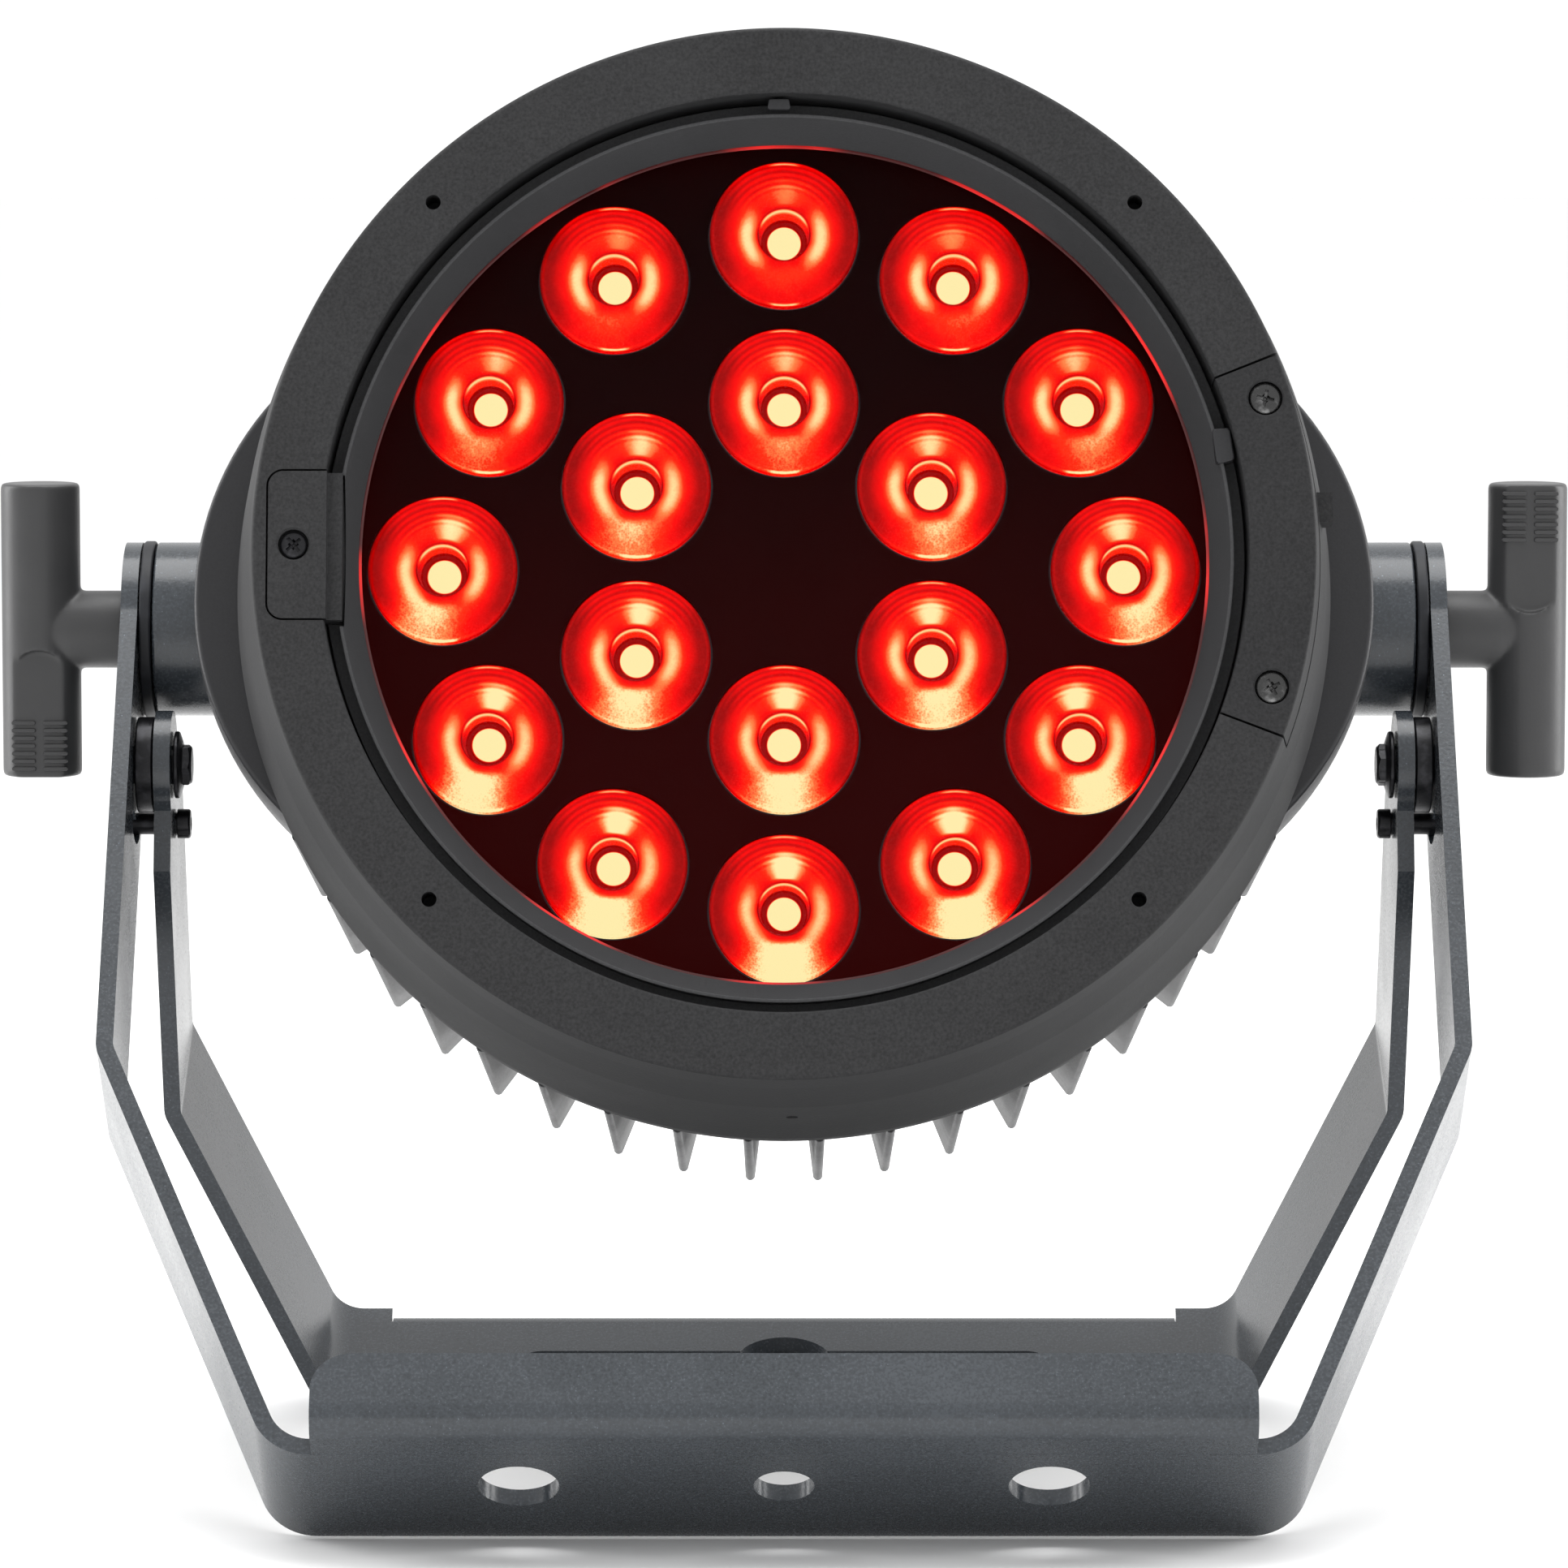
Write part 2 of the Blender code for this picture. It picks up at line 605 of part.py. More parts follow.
def rear_yoke(frame):
    """Rear yoke: bent strip with narrow eyes, a turned-down lip and a slotted plate."""
    half = REAR_WIDTH / 2
    strip = bent_strip("rear_yoke", REAR_ARM_X, REAR_BEND, REAR_CORNER_X, REAR_REACH, REAR_CORNER_R,
                       REAR_EYE_R + 1, half + 1)
    yoke = add("rear_yoke", strip, frame, look=YOKE_GREY)
    neck = REAR_EYE_R - REAR_NECK_STEP
    edge = [(neck, 0), (neck, -REAR_SHOULDER[0]), (half, -REAR_SHOULDER[1]), (half, -REAR_REACH - 1)]
    silhouette = side_section("rear_silhouette", arm_silhouette(REAR_EYE_R, edge), -REAR_ARM_X - 1,
                              REAR_ARM_X + 1)
    combine(yoke, add("rear_silhouette", silhouette, frame), "INTERSECT")
    inner_z = -REAR_REACH + SHEET
    low_z = -REAR_REACH - REAR_LIP_HIGH + SHEET
    top_z, root_z = inner_z - LIP_STEP, -REAR_REACH + LIP_STEP
    section = [(REAR_LIP_ROOT - half, root_z, 0), (REAR_LIP_ROOT - half, top_z, 0),
               (-half, top_z, LIP_BEND_R),
               (-half, low_z, 0), (-half + SHEET, low_z, 0), (-half + SHEET, root_z, LIP_BEND_R - SHEET)]
    relief = box("lip_relief", (-REAR_LIP_HALF, half - LIP_BEND_R, -REAR_REACH - 1),
                 (REAR_LIP_HALF, half + 1, inner_z + 1))
    cut(yoke, add("rear_lip_relief", relief, frame))
    join(yoke, add("rear_lip", side_section("rear_lip", rounded(section), GAP - REAR_LIP_HALF,
                                            REAR_LIP_HALF - GAP),
                   frame))
    for side in (-1, 1):
        hole = rod("hinge_hole", HINGE_BOLT_R + FIT, REAR_INNER_X - 1, REAR_ARM_X + 1)
        cut(yoke, add(f"rear_hinge_hole_{side}", hole, frame, turn=across(side)))
        stop_hole = rod("stop_hole", STOP_BOLT_R + FIT, REAR_INNER_X - 1, REAR_ARM_X + 1)
        cut(yoke, add(f"rear_stop_hole_{side}", stop_hole, frame, (0, 0, -STOP_RADIUS), across(side)))
    end = SLOT_HALF - SLOT_R
    slot = arc((end, 0), SLOT_R, -90, 90, 8) + arc((-end, 0), SLOT_R, 90, 270, 8)
    slot_mesh = extruded("slot", [slot], -REAR_REACH - 1, inner_z + 1)
    cut(yoke, add("plate_slot", slot_mesh, frame, (0, -HOLE_FORWARD, 0)))
    hub = rod("slot_hub", SLOT_HUB_R, -REAR_REACH - 1, inner_z + 1, 32)
    cut(yoke, add("plate_slot_hub", hub, frame, (0, -HOLE_FORWARD, 0)))
    return yoke


def hinge_hardware(front_frame, rear_frame):
    """Bolts, spacers and stop bolts of the fold hinge on both sides."""
    for side, word in ((-1, "left"), (1, "right")):
        flange_x = REAR_INNER_X - GAP
        bolt = [(0, FRONT_ARM_X), (HINGE_BOLT_R, FRONT_ARM_X), (HINGE_BOLT_R, flange_x),
                (HINGE_NUT_R, flange_x),
                (HINGE_NUT_R, flange_x - HINGE_NUT_HIGH), (HINGE_TIP_R, flange_x - HINGE_NUT_HIGH),
                (HINGE_TIP_R, flange_x - HINGE_NUT_HIGH - HINGE_TIP_HIGH + GAP),
                (0, flange_x - HINGE_NUT_HIGH - HINGE_TIP_HIGH + GAP)]
        turned(f"hinge_bolt_{word}", bolt, front_frame, BLACK_STEEL, ROUND_SMALL, False,
               (0, 0, -HINGE_DROP), across(side))
        bore = HINGE_BOLT_R + FIT
        spacer = [(bore, FRONT_INNER_X - GAP), (HINGE_SPACER_R, FRONT_INNER_X - GAP),
                  (HINGE_SPACER_R, REAR_ARM_X + GAP), (bore, REAR_ARM_X + GAP)]
        turned(f"hinge_spacer_{word}", spacer, front_frame, BLACK_STEEL, ROUND_SMALL, True,
               (0, 0, -HINGE_DROP), across(side))
        head_x = REAR_INNER_X - GAP
        stop = [(0, FRONT_ARM_X), (STOP_BOLT_R, FRONT_ARM_X), (STOP_BOLT_R, head_x), (STOP_HEAD_R, head_x),
                (STOP_HEAD_R, head_x - STOP_HEAD_HIGH), (0, head_x - STOP_HEAD_HIGH)]
        turned(f"stop_bolt_{word}", stop, rear_frame, BLACK_STEEL, ROUND_SMALL, False,
               (0, 0, -STOP_RADIUS), across(side))


def housing_outline():
    """Return the section of the finned housing: a root circle with tapered fins."""
    pitch = 360 / FIN_COUNT
    points = []
    for index in range(FIN_COUNT):
        middle = math.radians((index + 0.5) * pitch - 90)
        if abs(math.cos(middle)) > math.cos(math.radians(FIN_FREE_ANGLE)):
            points.append((ROOT_R * math.cos(middle), ROOT_R * math.sin(middle)))
            continue
        spoke = Vector((math.cos(middle), math.sin(middle)))
        side = Vector((-spoke.y, spoke.x))
        for radius, offset in ((ROOT_R, -FIN_ROOT_HALF), (FIN_TIP_R, -FIN_TIP_HALF),
                               (FIN_TIP_R, FIN_TIP_HALF), (ROOT_R, FIN_ROOT_HALF)):
            points.append(tuple(spoke * radius + side * offset))
    return points


def main_housing(frame):
    """Cast housing: finned drum, web for the board, front flange, side pods and trunnion bosses."""
    drum = extruded("main_housing", [housing_outline()], HOUSING_REAR_Z, FIN_FRONT_Z + 1)
    housing = add("main_housing", drum, frame, look=CAST_GREY)
    join(housing, add("front_flange", rod("front_flange", SKIRT_R, FIN_FRONT_Z, PARTING_Z, ROUND_LARGE),
                      frame))
    for side in (-1, 1):
        pod = add(f"pod_{side}", ellipsoid("pod", (side * POD_CENTRE_X, 0, POD_CENTRE_Z), POD_RADII), frame)
        ends = box("pod_slab", (-200, -100, HOUSING_REAR_Z), (200, 100, PARTING_Z))
        combine(pod, add(f"pod_slab_{side}", ends, frame), "INTERSECT")
        join(housing, pod)
        boss = rod("boss", BOSS_R, ROOT_R, BOSS_END_X, ROUND_MEDIUM)
        join(housing, add(f"boss_{side}", boss, frame, turn=across(side)))
    room = [(FLANGE_R, PARTING_Z + 1), (SKIRT_ROOM_R, PARTING_Z + 1),
            (SKIRT_ROOM_R, SKIRT_REAR_Z - GAP), (FLANGE_R, SKIRT_REAR_Z - GAP)]
    cut(housing, turned("skirt_room", room, frame, None, ROUND_LARGE, True))
    web_back = WEB_FRONT_Z - WEB_THICK
    cut(housing, add("front_bore", rod("front_bore", BORE_R, WEB_FRONT_Z, PARTING_Z + 1, ROUND_SEAL),
                     frame))
    cut(housing, add("rear_bore", rod("rear_bore", BORE_R, HOUSING_REAR_Z - 1, web_back, ROUND_SEAL),
                     frame))
    cut(housing, add("wire_hole", rod("wire_hole", WIRE_HOLE_R, web_back - 1, WEB_FRONT_Z + 1,
                                      ROUND_SMALL), frame))
    for side in (-1, 1):
        hole = rod("thread", STUD_R + FIT, BOSS_END_X - STUD_DEPTH - THREAD_SPARE, BOSS_END_X + 1,
                   ROUND_SMALL)
        cut(housing, add(f"thread_{side}", hole, frame, turn=across(side)))
    return housing


def sector(name, inner, outer, start, end, low, high, steps=10):
    """Return the mesh of a sector of a ring."""
    outline = arc((0, 0), outer, start, end, steps) + arc((0, 0), inner, end, start, steps)
    return extruded(name, [outline], low, high)


def hatch_outline(grow, inner_x):
    """Return the hatch's outline, grown by a clearance and open towards the aperture."""
    low, high = HATCH_Y[0] - grow, HATCH_Y[1] + grow
    corner = HATCH_CORNER_R + grow
    return rounded([(HATCH_X - grow, low, corner), (inner_x, low, 0), (inner_x, high, 0),
                    (HATCH_X - grow, high, corner)], 4)


def screw_tools(frame, name, place, depth):
    """Return the cutter of a countersunk screw's hole from the face."""
    profile = [(0, FACE_Z + 1), (SCREW_HEAD_R + GAP, FACE_Z + 1),
               (SCREW_HEAD_R + GAP, FACE_Z - SCREW_HEAD_HIGH - GAP),
               (SCREW_SHANK_R + FIT, FACE_Z - SCREW_HEAD_HIGH - GAP), (SCREW_SHANK_R + FIT, FACE_Z - depth),
               (0, FACE_Z - depth)]
    return turned(name, profile, frame, None, ROUND_SMALL, False, (*place, 0))


def on_circle(radius, angle):
    """Return the (x, y) point on a circle at an angle in degrees."""
    return (radius * math.cos(math.radians(angle)), radius * math.sin(math.radians(angle)))


def front_bezel(frame):
    """Front ring with its let-in segment, hatch, screws and small holes."""
    profile = [(FACE_R - EDGE_CHAMFER, FACE_Z), (FACE_R, FACE_Z - EDGE_CHAMFER),
               (FACE_R + SKIRT_UPPER[0], FACE_Z - SKIRT_UPPER[1]),
               (FACE_R + SKIRT_MIDDLE[0], FACE_Z - SKIRT_MIDDLE[1]), (SKIRT_R, SKIRT_REAR_Z + SKIRT_EDGE),
               (SKIRT_R, SKIRT_REAR_Z),
               (SKIRT_R - BEZEL_WALL, SKIRT_REAR_Z), (SKIRT_R - BEZEL_WALL, SHELF_Z[0]),
               (SHELF_R, SHELF_Z[0]), (SHELF_R, SHELF_Z[1]), (FACE_HOLE_R, SHELF_Z[1]),
               (FACE_HOLE_R, FACE_Z)]
    bezel = turned("front_bezel", profile, frame, CAST_GREY, ROUND_LARGE, True)
    seat = sector("segment_seat", FACE_HOLE_R - 1, FACE_R + 4, SEGMENT_ANGLES[0], SEGMENT_ANGLES[1],
                  FACE_Z - SEGMENT_DEPTH - GAP, FACE_Z + 1, 12)
    cut(bezel, add("segment_seat", seat, frame))
    pocket = extruded("hatch_pocket", [hatch_outline(GAP, TONGUE_X)], FACE_Z - HATCH_THICK - GAP,
                      FACE_Z + 1)
    cut(bezel, add("hatch_pocket", pocket, frame))
    for index, angle in enumerate(SEGMENT_SCREW_ANGLES):
        place = on_circle(SCREW_CIRCLE_R, angle)
        cut(bezel, screw_tools(frame, f"bezel_screw_hole_{index}", place, SCREW_LENGTH + 1))
    cut(bezel, screw_tools(frame, "hatch_screw_hole", HATCH_SCREW, SCREW_LENGTH + 1))
    for index in range(4):
        place = on_circle(ACCESSORY_CIRCLE_R, 45 + 90 * index)
        hole = rod("accessory_hole", ACCESSORY_HOLE_R, FACE_Z - ACCESSORY_HOLE_DEPTH, FACE_Z + 1, 12)
        cut(bezel, add(f"accessory_hole_{index}", hole, frame, (*place, 0)))
    drain = rod("drain_hole", DRAIN_HOLE_R, -SKIRT_R - 1, -SKIRT_R + BEZEL_WALL + 2, 12)
    cut(bezel, add("drain_hole", drain, frame, (DRAIN_HOLE_X, 0, DRAIN_HOLE_Z), (-90, 0, 0)))
    lug = box("side_lug", (FACE_R - 1, LUG_Y[0], FACE_Z - LUG_BEHIND_FACE[0]),
              (FACE_R + LUG_PROUD, LUG_Y[1], FACE_Z - LUG_BEHIND_FACE[1]))
    join(bezel, add("side_lug", lug, frame))
    return bezel


def bezel_fittings(frame):
    """The segment, the hatch and their screws."""
    step = math.degrees(GAP / FACE_R)
    inner, outer = FACE_HOLE_R, FACE_R
    segment_mesh = sector("bezel_segment_right", inner, outer, SEGMENT_ANGLES[0] + step,
                          SEGMENT_ANGLES[1] - step,
                          FACE_Z - SEGMENT_DEPTH, FACE_Z, 12)
    segment = add("bezel_segment_right", segment_mesh, frame, look=CAST_GREY)
    for index, (word, angle) in enumerate(zip(("lower", "upper"), SEGMENT_SCREW_ANGLES)):
        place = on_circle(SCREW_CIRCLE_R, angle)
        cut(segment, screw_tools(frame, f"segment_screw_hole_{index}", place, SEGMENT_DEPTH + 1))
        screw(frame, f"segment_screw_{word}", place)
    hatch = add("bezel_hatch_left", extruded("bezel_hatch_left", [hatch_outline(0, -FACE_HOLE_R + 1.5)],
                                             FACE_Z - HATCH_THICK, FACE_Z), frame, look=CAST_GREY)
    tongue = box("tongue", (-FACE_HOLE_R + GAP, HATCH_Y[0], TONGUE_Z[0]),
                 (TONGUE_X, HATCH_Y[1], FACE_Z - HATCH_THICK + 0.5))
    join(hatch, add("hatch_tongue", tongue, frame))
    wall_side = sector("hatch_trim", FACE_HOLE_R - GAP, FACE_R, *HATCH_TRIM_ANGLES, TONGUE_Z[0] - 1,
                       FACE_Z - HATCH_THICK, 8)
    cut(hatch, add("hatch_trim", wall_side, frame))
    cut(hatch, screw_tools(frame, "hatch_plate_hole", HATCH_SCREW, HATCH_THICK + 1))
    screw(frame, "hatch_screw", HATCH_SCREW)


def screw(frame, name, place):
    """A cross-head screw with its head just below the face."""
    top = FACE_Z - SCREW_SUNK
    head_back = top - SCREW_HEAD_HIGH
    end = FACE_Z - SCREW_LENGTH
    profile = [(0, top), (SCREW_HEAD_R, top), (SCREW_HEAD_R, head_back), (SCREW_SHANK_R, head_back),
               (SCREW_SHANK_R, end), (0, end)]
    piece = turned(name, profile, frame, BRIGHT_METAL, ROUND_SMALL, False, (*place, 0))
    for index, size in enumerate(((CROSS_ARM, CROSS_HALF), (CROSS_HALF, CROSS_ARM))):
        slot = box("cross", (-size[0], -size[1], top - CROSS_DEPTH), (size[0], size[1], top + 1))
        cut(piece, add(f"{name}_cross_{index}", slot, frame, (*place, 0)))


def glazing(frame):
    """Gasket, front glass and the conical ring that holds it."""
    gasket_low = SHELF_Z[1] + GAP
    gasket = [(SHELF_R, gasket_low + GASKET_THICK), (GLASS_R, gasket_low + GASKET_THICK),
              (GLASS_R, gasket_low),
              (SHELF_R, gasket_low)]
    turned("glass_gasket", gasket, frame, BLACK_RUBBER, ROUND_SEAL, True)
    glass = rod("front_glass", GLASS_R, GLASS_Z, GLASS_Z + GLASS_THICK, ROUND_LARGE)
    add("front_glass", glass, frame, look=CLEAR_GLASS)
    ring = [(CONE_EDGE_R, RETAINER_Z), (GLASS_R, RETAINER_Z), (GLASS_R, RETAINER_BACK_Z),
            (APERTURE_R, RETAINER_BACK_Z), (APERTURE_R, RETAINER_BACK_Z + CONE_FOOT)]
    retainer = turned("glass_retainer", ring, frame, CAST_GREY, ROUND_SEAL, True)
    notch = box("tongue_notch", (-FACE_R, HATCH_Y[0] - GAP, TONGUE_Z[0] - GAP),
                (TONGUE_X + GAP, HATCH_Y[1] + GAP, FACE_Z))
    cut(retainer, add("tongue_notch", notch, frame))


def lens_places():
    """Return the (x, y) centre of every lens, outer circle first."""
    places = [on_circle(OUTER_LENS_CIRCLE_R, 90 - 360 / OUTER_LENSES * i) for i in range(OUTER_LENSES)]
    places += [on_circle(INNER_LENS_CIRCLE_R, 90 - 360 / INNER_LENSES * i) for i in range(INNER_LENSES)]
    return places


def optics(frame):
    """Shroud plate, lenses and the board with its emitters."""
    top = LENS_PLATE_Z + LENS_PLATE_THICK
    skirt_r = LENS_PLATE_R - LENS_PLATE_SKIRT
    profile = [(0, top), (LENS_PLATE_R, top), (LENS_PLATE_R, PARTING_Z + GAP), (skirt_r, PARTING_Z + GAP),
               (skirt_r, LENS_PLATE_Z), (0, LENS_PLATE_Z)]
    plate = turned("lens_plate", profile, frame, MATT_BLACK, ROUND_SEAL)
    board = add("led_board", rod("led_board", BOARD_R, BOARD_Z, BOARD_Z + BOARD_THICK, ROUND_SEAL), frame,
                look=BOARD_WHITE)
    half = EMITTER_SIDE / 2
    for index, place in enumerate(lens_places(), 1):
        hole = rod("lens_hole", LENS_R + LENS_HOLE_CLEARANCE, LENS_PLATE_Z - 1, top + 1, ROUND_LENS)
        cut(plate, add(f"lens_hole_{index:02d}", hole, frame, (*place, 0)))
        lens = [(0, LENS_FRONT_Z - LENS_BORE_DEPTH), (LENS_BORE_R - 0.5, LENS_FRONT_Z - LENS_BORE_DEPTH),
                (LENS_BORE_R, LENS_FRONT_Z), (LENS_R, LENS_FRONT_Z), (LENS_R, LENS_FRONT_Z - LENS_RIM),
                (LENS_FOOT_R, LENS_BACK_Z), (0, LENS_BACK_Z)]
        turned(f"lens_{index:02d}", lens, frame, LENS_RED, ROUND_LENS, False, (*place, 0))
        emitter = box("emitter", (-half, -half, BOARD_Z + BOARD_THICK - 0.5), (half, half, EMITTER_TOP_Z))
        join(board, add(f"emitter_{index:02d}", emitter, frame, (*place, 0)))


def rear_end(frame):
    """Rear cover with its gasket, window, buttons, sockets, vent and safety loop."""
    inner, front = COVER_R - REAR_GASKET_WIDTH, HOUSING_REAR_Z - GAP
    seal = [(inner, front), (COVER_R, front), (COVER_R, front - REAR_GASKET_THICK),
            (inner, front - REAR_GASKET_THICK)]
    turned("rear_gasket", seal, frame, BLACK_RUBBER, ROUND_SEAL, True)
    profile = [(0, PANEL_INNER_Z), (COVER_R - COVER_WALL - COVER_CHAMFER, PANEL_INNER_Z),
               (COVER_R - COVER_WALL, PANEL_INNER_Z + COVER_CHAMFER), (COVER_R - COVER_WALL, COVER_FRONT_Z),
               (COVER_R, COVER_FRONT_Z), (COVER_R, COVER_BACK_Z + COVER_CHAMFER),
               (COVER_R - COVER_CHAMFER, COVER_BACK_Z), (0, COVER_BACK_Z)]
    cover = turned("rear_cover", profile, frame, CAST_GREY, ROUND_SEAL)
    low, high = COVER_BACK_Z - 1, PANEL_INNER_Z + 1
    half_x, half_y = WINDOW_SIZE[0] / 2, WINDOW_SIZE[1] / 2
    recess = box("window_recess", (-half_x - GAP, WINDOW_Y - half_y - GAP, low),
                 (half_x + GAP, WINDOW_Y + half_y + GAP, COVER_BACK_Z + WINDOW_THICK))
    opening = box("window_opening", (WINDOW_EDGE - half_x, WINDOW_Y - half_y + WINDOW_EDGE, low),
                  (half_x - WINDOW_EDGE, WINDOW_Y + half_y - WINDOW_EDGE, high))
    cut(cover, add("window_recess", recess, frame), add("window_opening", opening, frame))
    window = box("display_window", (-half_x, WINDOW_Y - half_y, COVER_BACK_Z),
                 (half_x, WINDOW_Y + half_y, COVER_BACK_Z + WINDOW_THICK - GAP))
    add("display_window", window, frame, look=WINDOW_SMOKE)
    for index, word in enumerate(("menu", "up", "down", "enter")):
        x = (index - 1.5) * BUTTON_PITCH
        hole = rod("button_hole", BUTTON_R + GAP, low, high, ROUND_SMALL)
        cut(cover, add(f"button_hole_{word}", hole, frame, (x, BUTTON_Y, 0)))
        stem_top = PANEL_INNER_Z + BUTTON_STEM
        profile = [(0, stem_top), (BUTTON_R + BUTTON_COLLAR, stem_top),
                   (BUTTON_R + BUTTON_COLLAR, PANEL_INNER_Z + GAP), (BUTTON_R, PANEL_INNER_Z + GAP),
                   (BUTTON_R, COVER_BACK_Z - BUTTON_PROUD + BUTTON_RIM),
                   (BUTTON_R - BUTTON_RIM, COVER_BACK_Z - BUTTON_PROUD), (0, COVER_BACK_Z - BUTTON_PROUD)]
        turned(f"button_{word}", profile, frame, BLACK_RUBBER, ROUND_SMALL, False, (x, BUTTON_Y, 0))
    for name, place in SOCKET_PLACES.items():
        hole = rod("socket_hole", SOCKET_BARREL_R + GAP, low, high, ROUND_MEDIUM)
        cut(cover, add(f"{name}_hole", hole, frame, (*place, 0)))
        flange_z = COVER_BACK_Z - GAP
        mouth_z = COVER_BACK_Z - SOCKET_PROUD
        profile = [(0, PANEL_INNER_Z + SOCKET_INSIDE), (SOCKET_BARREL_R, PANEL_INNER_Z + SOCKET_INSIDE),
                   (SOCKET_BARREL_R, flange_z), (SOCKET_FLANGE_R, flange_z),
                   (SOCKET_FLANGE_R, flange_z - SOCKET_FLANGE_THICK),
                   (SOCKET_BARREL_R, flange_z - SOCKET_FLANGE_THICK), (SOCKET_BARREL_R, mouth_z),
                   (SOCKET_BARREL_R - SOCKET_WALL, mouth_z),
                   (SOCKET_BARREL_R - SOCKET_WALL, mouth_z + SOCKET_DEPTH), (0, mouth_z + SOCKET_DEPTH)]
        turned(name, profile, frame, BLACK_STEEL, ROUND_MEDIUM, False, (*place, 0))
    cut(cover, add("vent_hole", rod("vent_hole", VENT_STEM_R + FIT, low, high, ROUND_SMALL), frame,
                   (0, VENT_Y, 0)))
    vent = [(0, PANEL_INNER_Z + VENT_STEM_LONG), (VENT_STEM_R, PANEL_INNER_Z + VENT_STEM_LONG),
            (VENT_STEM_R, COVER_BACK_Z - GAP), (VENT_R, COVER_BACK_Z - GAP),
            (VENT_R, COVER_BACK_Z - VENT_HIGH + VENT_RIM), (VENT_R - VENT_RIM, COVER_BACK_Z - VENT_HIGH),
            (0, COVER_BACK_Z - VENT_HIGH)]
    turned("vent_plug", vent, frame, BLACK_STEEL, ROUND_SMALL, False, (0, VENT_Y, 0))
    safety_loop(frame, cover, low, high)
    return cover


def safety_loop(frame, cover, low, high):
    """A bent steel loop for the safety cable, with its legs through the cover."""
    leg_end = PANEL_INNER_Z + LOOP_LEG
    crown = COVER_BACK_Z - LOOP_HIGH
    points = [(-LOOP_HALF, leg_end), (-LOOP_HALF, crown + LOOP_HALF)]
    points += arc((0, crown + LOOP_HALF), LOOP_HALF, 180, 360, 8)[1:-1]
    points += [(LOOP_HALF, crown + LOOP_HALF), (LOOP_HALF, leg_end)]
    curve = bpy.data.curves.new("safety_loop", "CURVE")
    curve.dimensions = "3D"
    curve.bevel_depth = LOOP_WIRE_R * MM
    curve.bevel_resolution = 2
    curve.use_fill_caps = True
    spline = curve.splines.new("POLY")
    spline.points.add(len(points) - 1)
    for point, (x, z) in zip(spline.points, points):
        point.co = (x * MM, LOOP_Y * MM, z * MM, 1)
    piece = bpy.data.objects.new("safety_loop", curve)
    PARTS.objects.link(piece)
    piece.parent = frame
    finish(piece, BRIGHT_METAL)
    for side in (-1, 1):
        hole = rod("loop_hole", LOOP_WIRE_R + FIT, low, high, ROUND_SMALL)
        cut(cover, add(f"loop_hole_{side}", hole, frame, (side * LOOP_HALF, LOOP_Y, 0)))


def inner_works(frame):
    """Power supply and control board in the drum behind the web."""
    width, height, depth = SUPPLY_SIZE
    front = WEB_FRONT_Z - WEB_THICK - SUPPLY_FRONT_GAP
    supply = box("power_supply", (-width / 2, -height / 2, front - depth), (width / 2, height / 2, front))
    add("power_supply", supply, frame, look=BRIGHT_METAL)
    width, height, depth = CONTROL_SIZE
    top = PANEL_INNER_Z + CONTROL_STANDOFF
    board = box("control_board", (-width / 2, -height / 2, top - depth), (width / 2, height / 2, top))
    add("control_board", board, frame, look=BOARD_GREEN)


def trunnion_hardware(head, upright):
    """Friction discs, studs and T-handles on both sides."""
    for side, word in ((-1, "left"), (1, "right")):
        bore = STUD_R + FIT
        disc = [(bore, DISC_OUTER_X), (DISC_R, DISC_OUTER_X), (DISC_R, DISC_OUTER_X - DISC_THICK),
                (bore, DISC_OUTER_X - DISC_THICK)]
        turned(f"friction_disc_{word}", disc, head, BLACK_RUBBER, ROUND_MEDIUM, True, turn=across(side))
        stud = rod("stud", STUD_R, BOSS_END_X - STUD_DEPTH, BAR_X, ROUND_SMALL)
        add(f"stud_{word}", stud, upright, turn=across(side), look=BRIGHT_METAL)
        t_handle(upright, side, word)


def t_handle(frame, side, word):
    """A moulded T-handle: bar, stem, stud bore and the thumb pad on one end."""
    name = f"t_handle_{word}"
    rim = BAR_RIM
    bar = [(0, BAR_HALF), (BAR_R - rim, BAR_HALF), (BAR_R, BAR_HALF - rim), (BAR_R, -BAR_HALF + rim),
           (BAR_R - rim, -BAR_HALF), (0, -BAR_HALF)]
    handle = turned(name, bar, frame, HANDLE_GREY, ROUND_MEDIUM, False, (side * BAR_X, 0, 0))
    join(handle, add(f"{name}_stem", rod("stem", STEM_R, STEM_X, BAR_X, ROUND_MEDIUM), frame,
                     turn=across(side)))
    cut(handle, add(f"{name}_bore", rod("bore", STUD_R + FIT, STEM_X - 1, BAR_X + GAP, ROUND_SMALL), frame,
                    turn=across(side)))
    width = PAD_HALF_WIDTH
    arch = [(width, BAR_HALF + 1)] + [(-width, BAR_HALF + 1), (-width, PAD_INNER + width)]
    arch += arc((0, PAD_INNER + width), width, 180, 360, 8)[1:-1] + [(width, PAD_INNER + width)]
    pad = extruded("thumb_pad", [[(x, side * y) for x, y in arch]], BAR_R - PAD_DEPTH, BAR_R + 1)
    pad.transform(Matrix.Rotation(math.radians(90), 4, "X"))
    cut(handle, add(f"{name}_pad", pad, frame, (side * BAR_X, 0, 0)))


